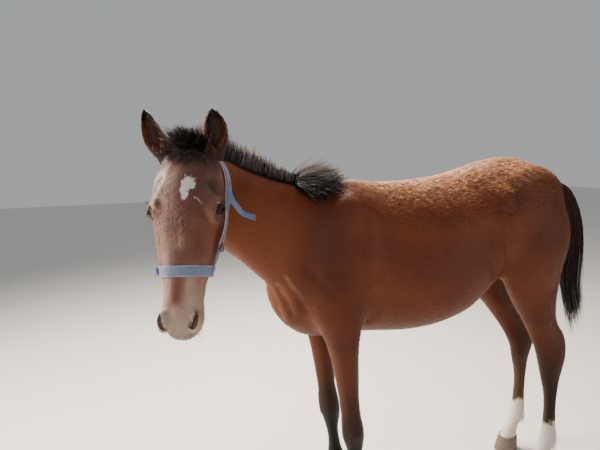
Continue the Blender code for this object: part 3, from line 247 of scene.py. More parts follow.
# The fleshy dock of the tail: middle and radius.
DOCK = (
    (0.545, 0.000, 1.165, 0.030),
    (0.580, 0.000, 1.162, 0.026),
    (0.615, 0.000, 1.142, 0.023),
    (0.645, 0.000, 1.100, 0.020),
    (0.662, 0.000, 1.040, 0.016),
    (0.672, 0.000, 0.975, 0.011),
    (0.676, 0.000, 0.930, 0.006),
)

# The tail's hair as one form: middle, half depth and half width.
TAIL_FORM = (
    (0.610, 0.0, 1.142, 0.020, 0.018),
    (0.650, 0.0, 1.110, 0.032, 0.030),
    (0.682, 0.0, 1.040, 0.040, 0.038),
    (0.702, 0.0, 0.950, 0.046, 0.042),
    (0.708, 0.0, 0.860, 0.048, 0.042),
    (0.704, 0.0, 0.770, 0.044, 0.038),
    (0.712, 0.0, 0.690, 0.034, 0.028),
    (0.738, 0.0, 0.620, 0.014, 0.012),
    (0.752, 0.0, 0.590, 0.003, 0.003),
)

# The halter: width and thickness of its webbing, and how far it lies off the coat.
WEB_WIDTH = 0.026
WEB_THICKNESS = 0.0020
WEB_LIFT = 0.0016
LAYER = WEB_THICKNESS + 0.0012
# The middle of the noseband's loop, the way its plane faces, and how far it hangs away under the jaw.
NOSEBAND_PLACE = (0.307, 0.0, -0.078)
NOSEBAND_FACES = (0.975, 0.0, -0.220)
NOSEBAND_SLACK = 0.020
# The cheek straps and crown on the left half, from the noseband to behind the ears, in the head's frame.
HEADPIECE = (
    (0.318, 0.070, -0.093),
    (0.290, 0.074, -0.098),
    (0.250, 0.082, -0.106),
    (0.205, 0.090, -0.114),
    (0.150, 0.094, -0.118),
    (0.100, 0.090, -0.114),
    (0.060, 0.084, -0.104),
    (0.025, 0.078, -0.092),
    (-0.010, 0.066, -0.080),
    (-0.034, 0.046, -0.060),
    (-0.046, 0.022, -0.040),
    (-0.050, 0.000, -0.034),
)
HEADPIECE_WIDTH = 0.020
# How much wider the dark strip under the headpiece is than the strap, so that it shows beside its edges.
DARK_STRIP_SHOWS = 0.012
# The end of webbing that hangs loose beside the left cheek, in the world.
LOOSE_WIDTH = 0.0135
LOOSE_END = (
    (-0.697, -0.263, 1.192),
    (-0.688, -0.256, 1.167),
    (-0.673, -0.243, 1.146),
    (-0.655, -0.224, 1.126),
    (-0.625, -0.216, 1.113),
)
# The ring's place on the left cheek strap, its size, and the knot's place on the right, in the head's frame.
RING_PLACE = (0.239, 0.089, -0.108)
RING_RADIUS = 0.0105
RING_TUBE = 0.0018
KNOT_PLACE = (0.303, -0.072, -0.080)

# A distance beyond any on the animal.
FAR = 9.0

# The ways across the body and up.
ACROSS_BODY = (0.0, 1.0, 0.0)
UPWARD = (0.0, 0.0, 1.0)


def head_matrix():
    """The head's frame in the world: columns are down the face, to the left and out of the face."""
    level = Vector((-math.sin(FACE_TURN), -math.cos(FACE_TURN), 0.0))
    up = Vector((0.0, 0.0, 1.0))
    down_face = level * math.cos(FACE_SLOPE) - up * math.sin(FACE_SLOPE)
    out = level * math.sin(FACE_SLOPE) + up * math.cos(FACE_SLOPE)
    left = out.cross(down_face)
    turned = Matrix((down_face, left, out)).transposed().to_4x4()
    turned = turned @ Matrix.Scale(HEAD_LENGTH / SKULL[-1][0], 4)
    turned.translation = POLL
    return turned


def read_smoothly(table, at):
    """Rows of the table, whose first column is the place, read at each place on one smooth curve."""
    table = np.array(table, float)
    if table[0, 0] > table[-1, 0]:
        table = table[::-1]
    place, value = table[:, 0], table[:, 1:]
    slope = np.gradient(value, place, axis=0)
    i = np.clip(np.searchsorted(place, at) - 1, 0, len(place) - 2)
    gap = (place[i + 1] - place[i])[:, None]
    s = (np.asarray(at)[:, None] - place[i][:, None]) / gap
    return (
        (2 * s**3 - 3 * s**2 + 1) * value[i]
        + (s**3 - 2 * s**2 + s) * gap * slope[i]
        + (3 * s**2 - 2 * s**3) * value[i + 1]
        + (s**3 - s**2) * gap * slope[i + 1]
    )


def section(up, down, wide, full_up, full_down, points):
    """(across, upward) offsets round one rounded section."""
    angle = np.arange(points) * 2 * math.pi / points
    full = np.where(np.sin(angle) > 0, full_up, full_down)
    reach = np.where(np.sin(angle) > 0, up, down)
    across = wide * np.sign(np.cos(angle)) * np.abs(np.cos(angle)) ** (2 / full)
    upward = reach * np.sign(np.sin(angle)) * np.abs(np.sin(angle)) ** (2 / full)
    return across, upward


def repeated(way, like):
    return np.tile(way, (len(like), 1))


def skin_over(name, rings):
    """A closed skin over rings of points."""
    shape = bmesh.new()
    rings = [[shape.verts.new(point) for point in ring] for ring in rings]
    for near, far in zip(rings, rings[1:]):
        for k in range(len(near)):
            after = (k + 1) % len(near)
            shape.faces.new((near[k], near[after], far[after], far[k]))
    shape.faces.new(rings[0][::-1])
    shape.faces.new(rings[-1])
    bmesh.ops.recalc_face_normals(shape, faces=shape.faces)
    return mesh_object(name, shape)


def loft(name, centres, across, upward, sizes, around=RING_POINTS):
    """A closed skin over rounded sections: each has its centre, two directions, and its sizes."""
    rings = []
    for centre, side, up, size in zip(centres, across, upward, sizes):
        a, b = section(*size, around)
        rings.append(centre + a[:, None] * side + b[:, None] * up)
    return skin_over(name, rings)


def mesh_object(name, shape):
    mesh = bpy.data.meshes.new(name)
    shape.to_mesh(mesh)
    shape.free()
    made = bpy.data.objects.new(name, mesh)
    bpy.context.scene.collection.objects.link(made)
    return made


def along(table, count):
    table = np.array(table, float)
    return np.linspace(table[0, 0], table[-1, 0], count)


def level_loft(name, table, count):
    """A closed skin along the table's first column, from tops, bottoms, widest heights and widths."""
    at = along(table, count)
    top, bottom, level, wide, full_up, full_down = read_smoothly(table, at).T
    centres = np.stack([at, at * 0, level], 1)
    sizes = np.stack([top - level, level - bottom, wide, full_up, full_down], 1)
    return loft(name, centres, repeated(ACROSS_BODY, at), repeated(UPWARD, at), sizes)


def neck_frames(count=40):
    """Centres, sideways and upward directions, and sizes along the neck."""
    steps = np.linspace(0, len(NECK) - 1, count)
    rows = np.column_stack([np.arange(len(NECK)), np.array(NECK, float)])
    read = read_smoothly(rows, steps)
    centres = read[:, :3]
    run = np.gradient(centres, axis=0)
    run /= np.linalg.norm(run, axis=1)[:, None]
    side = np.cross(run, UPWARD)
    side /= np.linalg.norm(side, axis=1)[:, None]
    up = np.cross(side, run)
    return centres, side, up, read[:, 3:]


def leg_shift(heights, shifts):
    """How far along X the leg is moved at each height."""
    rows = sorted(zip(LEG_BEND_HEIGHTS, shifts))
    place, value = np.array(rows).T
    return np.interp(heights, place, value)


def leg(name):
    table, side, shifts, inward = LEGS[name]
    at = along(table, 70)
    front, back, apart, wide = read_smoothly(table, at).T
    middle = (front + back) / 2 + leg_shift(at, shifts)
    half = (back - front) / 2
    centres = np.stack([middle, side * (apart - inward), at], 1)
    two = np.full(len(at), 2.0)
    sizes = np.stack([half, half, wide, two, two], 1)
    return loft(name, centres, repeated(ACROSS_BODY, at), repeated((-1.0, 0.0, 0.0), at), sizes)


def ball(name, place, half_sizes, turned=Matrix(), segments=32, rings=20):
    """A sphere scaled by its half sizes and turned."""
    shape = bmesh.new()
    bmesh.ops.create_uvsphere(shape, u_segments=segments, v_segments=rings, radius=1.0)
    sized = Matrix.Diagonal((*half_sizes, 1.0))
    shape.transform(Matrix.Translation(place) @ turned @ sized)
    return mesh_object(name, shape)


def masses():
    made = []
    for name, (x, y, z), half_sizes, turn in MASSES:
        for side in (-1, 1):
            turned = Matrix.Rotation(math.radians(turn), 4, "Y")
            made.append(ball(name, (x, side * y, z), half_sizes, turned))
    return made


def joined(name, objects):
    bpy.ops.object.select_all(action="DESELECT")
    for piece in objects:
        piece.select_set(True)
    bpy.context.view_layer.objects.active = objects[0]
    bpy.ops.object.join()
    objects[0].name = name
    return objects[0]


def select_only(made):
    bpy.ops.object.select_all(action="DESELECT")
    made.select_set(True)
    bpy.context.view_layer.objects.active = made


def apply_modifier(made, kind, **settings):
    changed = made.modifiers.new(kind.lower(), kind)
    for key, value in settings.items():
        setattr(changed, key, value)
    bpy.context.view_layer.objects.active = made
    bpy.ops.object.modifier_apply(modifier=changed.name)


def smooth_where(made, share, passes, least=0.01):
    """Smooths the skin by each corner's share, leaving out those below the least."""
    group = made.vertex_groups.new(name="smoothed")
    for index in np.nonzero(share > least)[0]:
        group.add([int(index)], float(share[index]), "REPLACE")
    apply_modifier(made, "SMOOTH", factor=0.5, iterations=passes, vertex_group=group.name)
    made.vertex_groups.clear()


def mirrored(place, side):
    """A place or direction of the left half, taken to the side asked for (1 left, -1 right)."""
    return Vector((place[0], side * place[1], place[2]))


def both_halves(points):
    """A line of the left half, whose last point is on the midline, led on over the right half."""
    return [mirrored(point, 1) for point in points] + [mirrored(point, -1) for point in points[-2::-1]]


def turned_to(along, outward):
    """A turn whose Z is the first direction and whose X lies as near as it can to the second."""
    z = Vector(along).normalized()
    x = Vector(outward)
    x = (x - x.dot(z) * z).normalized()
    return Matrix((x, z.cross(x), z)).transposed().to_4x4()


def stroke(made, path, width, depth):
    """Raises the skin along a path of points, or presses it in where the depth is below zero."""
    place, normal = corners_of(made.data), normals_of(made.data)
    near = np.full(len(place), FAR)
    path = np.array(path, float)
    for a, b in zip(path, path[1:]):
        run = b - a
        share = np.clip((place - a) @ run / (run @ run), 0.0, 1.0)
        near = np.minimum(near, np.linalg.norm(place - a - share[:, None] * run, axis=1))
    push = depth * np.exp(-((near / width) ** 2))
    put_corners(made.data, place + push[:, None] * normal)


def dock():
    table = np.column_stack([np.arange(len(DOCK)), np.array(DOCK)])
    steps = np.linspace(0, len(DOCK) - 1, 22)
    read = read_smoothly(table, steps)
    centres, radius = read[:, :3], read[:, 3]
    run = np.gradient(centres, axis=0)
    run /= np.linalg.norm(run, axis=1)[:, None]
    side = repeated(ACROSS_BODY, steps)
    up = np.cross(side, run)
    two = np.full(len(steps), 2.0)
    return loft("tail", centres, side, up, np.stack([radius, radius, radius, two, two], 1), 16)


def foot_place(leg_name):
    """Where the middle of the leg stands at the coronet."""
    table, side, shifts, inward = LEGS[leg_name]
    front, back, apart = read_smoothly(table, [CORONET_HEIGHT])[0][:3]
    middle = (front + back) / 2 + leg_shift([CORONET_HEIGHT], shifts)[0]
    return middle, side * (apart - inward)


def smooth_path(points, spacing):
    """Points spaced evenly on one smooth curve through those given."""
    points = np.array(points, float)
    rows = np.column_stack([np.arange(len(points)), points])
    fine = read_smoothly(rows, np.linspace(0, len(points) - 1, 400))
    run = np.concatenate([[0.0], np.cumsum(np.linalg.norm(np.diff(fine, axis=0), axis=1))])
    count = max(3, int(run[-1] / spacing) + 1)
    wanted = np.linspace(0.0, run[-1], count)
    return np.stack([np.interp(wanted, run, fine[:, k]) for k in range(3)], 1)


def linear(code):
    """An sRGB hex colour as linear red, green and blue."""
    values = np.array([int(code[k : k + 2], 16) / 255 for k in (1, 3, 5)])
    return np.where(values <= 0.04045, values / 12.92, ((values + 0.055) / 1.055) ** 2.4)


def step(value, start, end):
    """0 before the start, 1 after the end and smooth between; it runs down where the end is lower."""
    share = np.clip((value - start) / (end - start), 0.0, 1.0)
    return share * share * (3.0 - 2.0 * share)


def ripple(points, size, seed):
    """Soft random blotches of about a size in metres, between -1 and 1."""
    random = np.random.default_rng(seed)
    total = np.zeros(len(points))
    for _ in range(8):
        way = random.normal(size=3)
        way *= random.uniform(0.7, 1.6) / np.linalg.norm(way)
        total += np.sin(points @ way * (2 * math.pi / size) + random.uniform(0, 6.3))
    return np.clip(total / 3.0, -1.0, 1.0)


def unit(vectors):
    return vectors / np.maximum(np.linalg.norm(vectors, axis=-1, keepdims=True), 1e-9)


def corners_of(mesh):
    found = np.empty(len(mesh.vertices) * 3)
    mesh.vertices.foreach_get("co", found)
    return found.reshape(-1, 3)


def normals_of(mesh):
    found = np.empty(len(mesh.vertices) * 3)
    mesh.vertices.foreach_get("normal", found)
    return found.reshape(-1, 3)


def put_corners(mesh, corners):
    mesh.vertices.foreach_set("co", corners.ravel())
    mesh.update()


def triangles_of(mesh):
    mesh.calc_loop_triangles()
    found = np.empty(len(mesh.loop_triangles) * 3, np.int32)
    mesh.loop_triangles.foreach_get("vertices", found)
    return found.reshape(-1, 3)


def cut(made, cutter, operation="DIFFERENCE"):
    """One Boolean, whose cutter is then removed."""
    apply_modifier(made, "BOOLEAN", solver="MANIFOLD", operation=operation, object=cutter)
    bpy.data.objects.remove(cutter)


def select_near(made, places, reach):
    """Selects the faces within reach of any of the places, in edit mode."""
    select_only(made)
    near = nearest_of(corners_of(made.data), places) < reach
    bpy.ops.object.mode_set(mode="EDIT")
    bpy.ops.mesh.select_mode(type="VERT")
    bpy.ops.mesh.select_all(action="DESELECT")
    bpy.ops.object.mode_set(mode="OBJECT")
    made.data.vertices.foreach_set("select", near)
    bpy.ops.object.mode_set(mode="EDIT")
    bpy.ops.mesh.select_mode(type="FACE")


def nearest_of(points, places):
    """How far each point lies from the nearest of the places."""
    near = np.full(len(points), FAR)
    for place in places:
        near = np.minimum(near, np.linalg.norm(points - np.array(place), axis=1))
    return near


def smooth_near(made, places, reach, passes):
    """Smooths the skin round each place, fading out to the reach."""
    near = nearest_of(corners_of(made.data), places)
    smooth_where(made, step(near, reach, reach * 0.5), passes)


# The muscles' edges are smoothed away fully above one height, and not at all below the other.
SLEEK_BELOW = 0.55
SOFT_ABOVE = 0.80

# Lines of bone, muscle and skin over the body: points on the left side, width, and height (+) or depth (-).
BODY_LINES = (
    (((-0.270, 0.090, 1.110), (-0.330, 0.110, 1.000), (-0.400, 0.120, 0.900)), 0.022, 0.0030),
    (((-0.235, 0.110, 1.080), (-0.235, 0.140, 0.960), (-0.250, 0.150, 0.880)), 0.018, -0.0045),
    (((-0.440, 0.110, 0.930), (-0.380, 0.130, 0.860), (-0.330, 0.140, 0.800)), 0.014, -0.0030),
    (((-0.225, 0.130, 0.830), (-0.215, 0.120, 0.770), (-0.240, 0.110, 0.720)), 0.016, -0.0060),
    (((0.225, 0.165, 1.060), (0.218, 0.170, 0.960), (0.250, 0.160, 0.880)), 0.012, 0.0045),
    (((0.252, 0.160, 1.060), (0.246, 0.165, 0.960), (0.272, 0.155, 0.890)), 0.015, -0.0055),
    (((0.195, 0.165, 1.020), (0.190, 0.170, 0.920), (0.225, 0.160, 0.850)), 0.020, -0.0050),
    (((0.300, 0.160, 0.820), (0.360, 0.150, 0.770), (0.420, 0.140, 0.720)), 0.014, -0.0030),
    (((0.270, 0.150, 1.135), (0.240, 0.160, 1.090), (0.245, 0.165, 1.050)), 0.014, 0.0040),
    (((0.480, 0.120, 0.990), (0.470, 0.150, 0.880), (0.470, 0.150, 0.790)), 0.020, -0.0040),
    (((0.530, 0.080, 1.060), (0.545, 0.090, 0.960), (0.530, 0.120, 0.850)), 0.012, -0.0025),
    (((-0.120, 0.170, 0.920), (-0.080, 0.180, 0.840), (-0.030, 0.170, 0.760)), 0.014, 0.0015),
    (((-0.060, 0.180, 0.940), (-0.010, 0.188, 0.850), (0.040, 0.178, 0.770)), 0.014, 0.0015),
    (((0.010, 0.185, 0.950), (0.060, 0.190, 0.860), (0.110, 0.180, 0.780)), 0.014, 0.0015),
    (((0.080, 0.185, 0.960), (0.130, 0.188, 0.870), (0.170, 0.176, 0.790)), 0.014, 0.0015),
    (((-0.505, 0.085, 0.905), (-0.480, 0.100, 0.860), (-0.455, 0.105, 0.800)), 0.009, -0.0045),
    (((-0.530, 0.060, 0.880), (-0.510, 0.075, 0.840), (-0.485, 0.080, 0.780)), 0.008, -0.0045),
    (((-0.540, 0.030, 0.870), (-0.530, 0.045, 0.820), (-0.500, 0.050, 0.760)), 0.008, -0.0040),
)
# The same down each leg, from the leg's own middle line: height, share forward, share out, width, height.
FORE_LINES = (
    (((0.330, 0.15, 0.9), (0.260, 0.10, 0.9), (0.185, -0.10, 0.9)), 0.007, -0.0035),
    (((0.330, 0.15, -0.9), (0.260, 0.10, -0.9), (0.185, -0.10, -0.9)), 0.007, -0.0035),
    (((0.395, 0.90, 0.3), (0.355, 1.00, 0.2), (0.330, 0.95, 0.2)), 0.012, 0.0035),
    (((0.360, 0.20, 1.0), (0.350, -0.30, 1.0)), 0.010, 0.0030),
    (((0.700, 0.20, 1.0), (0.600, 0.10, 1.0), (0.480, 0.00, 1.0)), 0.010, -0.0030),
    (((0.155, -0.6, 0.8), (0.150, -0.9, 0.3)), 0.010, 0.0030),
)
HIND_LINES = (
    (((0.400, 0.05, 0.9), (0.300, 0.00, 0.9), (0.200, -0.20, 0.9)), 0.007, -0.0035),
    (((0.400, 0.05, -0.9), (0.300, 0.00, -0.9), (0.200, -0.20, -0.9)), 0.007, -0.0035),
    (((0.640, -0.30, 0.9), (0.590, -0.45, 0.9), (0.540, -0.55, 0.9)), 0.010, -0.0065),
    (((0.640, -0.30, -0.9), (0.590, -0.45, -0.9), (0.540, -0.55, -0.9)), 0.010, -0.0065),
    (((0.600, -0.95, 0.0), (0.555, -1.05, 0.0), (0.520, -1.00, 0.0)), 0.010, 0.0040),
    (((0.480, 0.50, 0.9), (0.455, 0.40, 0.9)), 0.012, 0.0030),
)


def leg_point(name, z, forward, out):
    """A point on a leg by its height and its shares forward and outward of the middle line."""
    table, side, shifts, inward = LEGS[name]
    front, back, apart, wide = read_smoothly(table, [z])[0]
    middle = (front + back) / 2 + leg_shift([z], shifts)[0]
    return (middle - forward * (back - front) / 2, side * (apart - inward + out * wide), z)


def body_form():
    """Trunk, neck, legs and dock melted into one skin, with the lines of bone and muscle drawn on it."""
    forms = [level_loft("trunk", TRUNK, 60), loft("neck", *neck_frames()), dock()]
    made = joined("horse_skin", forms + [leg(name) for name in LEGS] + masses())
    apply_modifier(made, "REMESH", mode="VOXEL", voxel_size=BODY_VOXEL)
    apply_modifier(made, "SMOOTH", factor=0.5, iterations=4)
    above = (corners_of(made.data)[:, 2] - SLEEK_BELOW) / (SOFT_ABOVE - SLEEK_BELOW)
    smooth_where(made, np.clip(above, 0.0, 1.0), 48, 0.0)
    for path, width, height in BODY_LINES:
        for side in (-1, 1):
            stroke(made, [(x, side * y, z) for x, y, z in path], width, height * 1.5)
    for name in LEGS:
        for path, width, height in FORE_LINES if "fore" in name else HIND_LINES:
            stroke(made, [leg_point(name, *point) for point in path], width, height)
    return made


# Lines drawn on the left half of the face, as above, in the head's frame.
FACE_LINES = (
    (((0.196, 0.082, -0.074), (0.240, 0.074, -0.076), (0.285, 0.064, -0.076)), 0.009, 0.0060),
    (
        ((0.205, 0.064, -0.022), (0.260, 0.056, -0.034), (0.320, 0.046, -0.046), (0.360, 0.042, -0.052)),
        0.014,
        -0.0062,
    ),
    (
        ((0.180, 0.040, 0.010), (0.240, 0.034, -0.006), (0.310, 0.026, -0.020), (0.370, 0.020, -0.028)),
        0.009,
        0.0018,
    ),
    (((0.094, 0.060, -0.002), (0.118, 0.076, -0.020)), 0.013, -0.0095),
    (
        ((0.126, 0.070, -0.012), (0.140, 0.080, -0.014), (0.160, 0.080, -0.012), (0.178, 0.070, -0.016)),
        0.007,
        0.0036,
    ),
    (((0.040, 0.030, 0.014), (0.080, 0.045, 0.014), (0.120, 0.062, 0.004)), 0.012, 0.0022),
    (
        ((0.090, 0.100, -0.110), (0.150, 0.104, -0.120), (0.200, 0.094, -0.130), (0.225, 0.080, -0.150)),
        0.012,
        0.0020,
    ),
    (((0.232, 0.076, -0.086), (0.262, 0.068, -0.100), (0.300, 0.056, -0.112)), 0.007, -0.0022),
    (((0.252, 0.070, -0.070), (0.300, 0.056, -0.060), (0.345, 0.046, -0.052)), 0.0030, 0.0014),
    (((0.300, 0.056, -0.060), (0.340, 0.050, -0.076), (0.372, 0.047, -0.084)), 0.0030, 0.0012),
    (((0.398, 0.020, -0.034), (0.424, 0.020, -0.040), (0.446, 0.022, -0.052)), 0.010, -0.0020),
    (((0.380, 0.046, -0.096), (0.370, 0.050, -0.092)), 0.006, -0.0030),
    (((0.452, 0.012, -0.126), (0.440, 0.030, -0.124), (0.420, 0.038, -0.118)), 0.008, 0.0026),
)
# The nostril's raised rim and the groove under it, on the left, in the head's frame.
NOSTRIL_RIM = ((0.412, 0.038, -0.036), (0.426, 0.050, -0.040), (0.444, 0.052, -0.050), (0.457, 0.044, -0.058))
NOSTRIL_FOLD = ((0.400, 0.044, -0.044), (0.385, 0.047, -0.052), (0.372, 0.048, -0.062))
# The wedge that opens the lids: depths out of the eye, and how far it is spread at each.
LID_WEDGE = ((0.3, 0.3), (1.0, 1.0), (1.6, 1.12))
LID_POINTS = 40
# Lines round the lids: first, last and spacing of the turns in degrees, how far outside the lids'
# edge, depth as a share of the eye's radius, width, and height (+) or depth (-).
LID_LINES = (
    ((12, 169, 12), 0.0078, 1.10, 0.0026, -0.0026),
    ((40, 150, 12), 0.0133, 1.10, 0.0030, -0.0014),
    ((200, 345, 12), 0.0062, 1.05, 0.0026, -0.0014),
)
LID_RIM = 0.0016
# The head's smaller masses on the left: middle and half sizes.
HEAD_MASSES = (
    ("cheek", (0.125, 0.048, -0.122), (0.082, 0.038, 0.070)),
    ("nostril wing", (0.428, 0.035, -0.060), (0.031, 0.019, 0.025)),
)
# How far the skin is made finer, and smoothed, round the eyes and nostrils.
FINE_REACH = 0.036
LIP_APART = 0.009
SMOOTH_REACH = 0.042


def eye_axes(side):
    """Out of the eye, towards its inner corner and up across it, in the head's frame."""
    looks = mirrored(EYE_LOOKS, side).normalized()
    inner = mirrored(EYE_INNER_CORNER, side)
    inner = (inner - inner.dot(looks) * looks).normalized()
    upward = looks.cross(inner)
    if upward.z < 0:
        upward = -upward
    return looks, inner, upward


def lid_point(side, turn, wider=0.0, depth=1.0):
    """A point of the lids' edge, or of a line that runs round them so much wider."""
    looks, inner, upward = eye_axes(side)
    half_length, above, below = LID_OPENING
    reach = (above if math.sin(turn) > 0 else below) + wider
    lid = reach * math.sin(turn) * abs(math.sin(turn)) ** 0.3
    offset = inner * (half_length + wider) * math.cos(turn) + upward * lid
    return mirrored(EYE_PLACE, side) + looks * EYE_RADIUS * depth + offset


def lid_opening(side):
    """The wedge that opens the lids, widening from the middle of the eye outwards."""
    middle = mirrored(EYE_PLACE, side)
    looks = eye_axes(side)[0]
    centre = lid_point(side, 0, -LID_OPENING[0])
    offsets = [lid_point(side, k * 2 * math.pi / LID_POINTS) - centre for k in range(LID_POINTS)]
    rings = []
    for depth, spread in LID_WEDGE:
        rings.append([middle + looks * EYE_RADIUS * depth + offset * spread for offset in offsets])
    return skin_over("lid opening", rings)


def nostril_place(side):
    """The middle of a nostril; the soft nose is drawn a little to the right."""
    return mirrored(NOSTRIL_PLACE, side) + Vector((0.0, -0.0035, 0.0))


def head_form():
    """The head melted into one skin, with its lids, nostrils, lips and lines."""
    pieces = [level_loft("skull", SKULL, 50), level_loft("jaw", JAW, 50)]
    for side in (-1, 1):
        eye = mirrored(EYE_PLACE, side)
        pieces.append(ball("brow", eye + mirrored((-0.006, -0.010, 0.011), side), (0.034, 0.026, 0.028)))
        pieces.append(ball("lids", eye, [EYE_RADIUS + LID_THICKNESS + 0.0012] * 3))
        for name, place, half_sizes in HEAD_MASSES:
            pieces.append(ball(name, mirrored(place, side), half_sizes))
    pieces.append(ball("chin", (0.440, 0.0, -0.128), (0.022, 0.028, 0.016)))
    made = joined("head", pieces)
    apply_modifier(made, "REMESH", mode="VOXEL", voxel_size=HEAD_VOXEL)
    apply_modifier(made, "SMOOTH", factor=0.5, iterations=8)
    details = [mirrored(EYE_PLACE, side) for side in (-1, 1)]
    details += [nostril_place(side) for side in (-1, 1)]
    select_near(made, details, FINE_REACH)
    bpy.ops.mesh.subdivide(number_cuts=1, smoothness=0.0)
    bpy.ops.object.mode_set(mode="OBJECT")
    smooth_near(made, details, SMOOTH_REACH, 6)
    for side in (-1, 1):
        for path, width, height in FACE_LINES:
            stroke(made, [mirrored(point, side) for point in path], width, height)
        around = [lid_point(side, k * math.pi / 18, 0.0022, 1.15) for k in range(37)]
        stroke(made, around, 0.0030, LID_RIM)
        for turns, wider, depth, width, height in LID_LINES:
            line = [lid_point(side, math.radians(turn), wider, depth) for turn in range(*turns)]
            stroke(made, line, width, height)
        corner = [lid_point(side, 0.0, 0.001, 0.95), lid_point(side, -0.1, 0.010, 1.0)]
        stroke(made, corner, 0.0030, -0.0022)
        stroke(made, [mirrored(point, side) for point in NOSTRIL_RIM], 0.0060, 0.0034)
        stroke(made, [mirrored(point, side) for point in NOSTRIL_FOLD], 0.0060, -0.0026)
    mouth = both_halves(MOUTH_LINE)
    stroke(made, mouth, 0.0032, -0.0046)
    lip = Vector((0.0, 0.0, LIP_APART))
    stroke(made, [point + lip for point in mouth], 0.0060, 0.0020)
    stroke(made, [point - lip for point in mouth], 0.0060, 0.0022)
    for side in (-1, 1):
        cut(made, ball("socket", mirrored(EYE_PLACE, side), [EYE_RADIUS + EYE_GAP] * 3, Matrix(), 48, 32))
        cut(made, lid_opening(side))
        opens = turned_to(mirrored(NOSTRIL_OPENS, side), (1.0, 0.0, 0.0))
        cut(made, ball("nostril", nostril_place(side), NOSTRIL_SIZE, opens, 32, 20))
    smooth_near(made, [nostril_place(side) for side in (-1, 1)], 0.030, 2)
    made.data.transform(head_matrix())
    return made


def ear_axes(name):
    """The ear's foot, and the ways that its cup faces, across it, and up it, in the solids' frame."""
    foot, points, faces = EARS[name][:3]
    turned = np.array(turned_to(points, faces).to_3x3())
    return np.array(head_matrix() @ Vector(foot)), turned[:, 0], turned[:, 1], turned[:, 2]


def ear_form(name):
    """A cupped ear with thin rims, open towards the way it faces."""
    foot, forward, side, up = ear_axes(name)
    length, bow, broad = EARS[name][3:]
    at = np.linspace(-0.18, 1.0, 44)
    wide, deep, lean = read_smoothly(EAR_FORM, np.clip(at, 0.0, 1.0)).T
    wide = wide * (1.0 + broad * (1.0 - 2.0 * np.clip(at * 1.3, 0.0, 1.0)))
    outward = bow * np.sin(np.clip(at, 0.0, 1.0) * math.pi)
    centres = foot + at[:, None] * length * up - lean[:, None] * forward + outward[:, None] * side
    two = np.full(len(at), 2.0)
    across = np.tile(side, (len(at), 1))
    ahead = np.tile(forward, (len(at), 1))
    made = loft(name, centres, across, ahead, np.stack([deep, deep, wide, two, two], 1), 40)
    inside = (at > 0.10) & (at < 0.975)
    opened = np.clip((at - 0.02) / 0.35, 0.25, 1.0)
    narrow = ((wide - EAR_WALL) * opened)[inside]
    far = (deep * 1.9 - EAR_WALL)[inside]
    middle = (centres + 0.9 * deep[:, None] * forward)[inside]
    two = two[inside]
    sizes = np.stack([far, far, np.maximum(narrow, 0.001), two, two], 1)
    cut(made, loft("cup", middle, across[inside], ahead[inside], sizes, 40))
    return made


def nearest_vertex(source, corners):
    """How far each corner lies from the source's nearest corner."""
    tree = KDTree(len(source))
    for index, point in enumerate(source):
        tree.insert(point, index)
    tree.balance()
    return np.array([tree.find(point)[2] for point in corners])


def whole_skin():
    """One skin over body, head and ears, smoothed where they meet, with the part that each corner is of."""
    body, head = body_form(), head_form()
    ears = [ear_form(name) for name in EARS]
    sources = [corners_of(piece.data).copy() for piece in [body, head] + ears]
    cut(body, head, "UNION")
    for piece in ears:
        cut(body, piece, "UNION")
    corners = corners_of(body.data)
    distances = np.stack([nearest_vertex(source, corners) for source in sources])
    part = distances.argmin(0)
    other = np.sort(distances, 0)[1]
    seam = step(other, 0.016, 0.004)
    seam[(part > 1) & (distances[1] > 0.012)] = 0.0
    smooth_where(body, seam, 14)
    depth = np.choose(np.minimum(part, 2), COAT_DEPTH)
    corners = corners_of(body.data)
    put_corners(body.data, corners - normals_of(body.data) * depth[:, None])
    body.data.shade_smooth()
    return body, part


def in_head(points):
    """World places in the head's own frame."""
    back = np.array(head_matrix().inverted())
    return points @ back[:3, :3].T + back[:3, 3]


def crest_line():
    """The crest of the neck from the withers to the poll, with the sideways and upward ways along it."""
    centres, side, up, sizes = neck_frames(80)
    return centres + up * sizes[:, :1], side, up, unit(np.gradient(centres, axis=0))


# The coat's colours: bay in light and shade, painted sunlight on the back and the face, black points, and the
# greyer face.
BAY = linear("#683018")
BAY_GOLD = linear("#783d1e")
BAY_DARK = linear("#431c0e")
BAY_SUNLIT_BACK = linear("#bd8560")
POINT_BLACK = linear("#120b09")
CANNON_BROWN = linear("#341a10")
CANNON_PALE = linear("#7a5a46")
BREAST_PALE = linear("#a87f62")
SOCK_WHITE = linear("#e3d8cc")
FACE_BROWN = linear("#7b4a38")
FOREHEAD_GREY = linear("#664942")
FACE_CHEEK = linear("#6f3b29")
NOSE_TAN = linear("#a07866")
MUZZLE_GREY = linear("#b9a191")
FACE_SUNLIT_AND_BLEACHED = linear("#c3a294")
NOSE_SKIN = linear("#6f5b54")
# The dark of the lids, used as well for painted shade in the hollows by the eyes, round the nostrils and
# along the mouth.
LIDS_DARK_AND_PAINTED_SHADE = linear("#37241d")
STAR_WHITE = linear("#dcdad7")
EAR_INSIDE = linear("#1c0f0a")
EAR_BACK = linear("#6d3a24")
EAR_RIM = linear("#b08f7d")


DUST = linear("#8b7663")
# How much darker the skin is painted than the hair over it: painted shade under the coat.
SHADE_UNDER_COAT = 0.80

# Soft patches on the trunk, painted shade over the shoulder, thigh, lower barrel and hip and a painted sheen
# of sunlight on the loins: middle along x, its spread, middle height, its spread, and strength.
SHADE_PATCHES = (
    (-0.37, 0.10, 0.98, 0.17, 0.55),
    (0.46, 0.15, 0.98, 0.16, 0.50),
    (0.05, 0.24, 0.90, 0.12, 0.40),
)
HIP_SHADE_PATCH = (0.30, 0.05, 1.13, 0.07, 0.45)
LOIN_SHEEN_PATCH = (0.22, 0.13, 1.21, 0.05, 1.0)
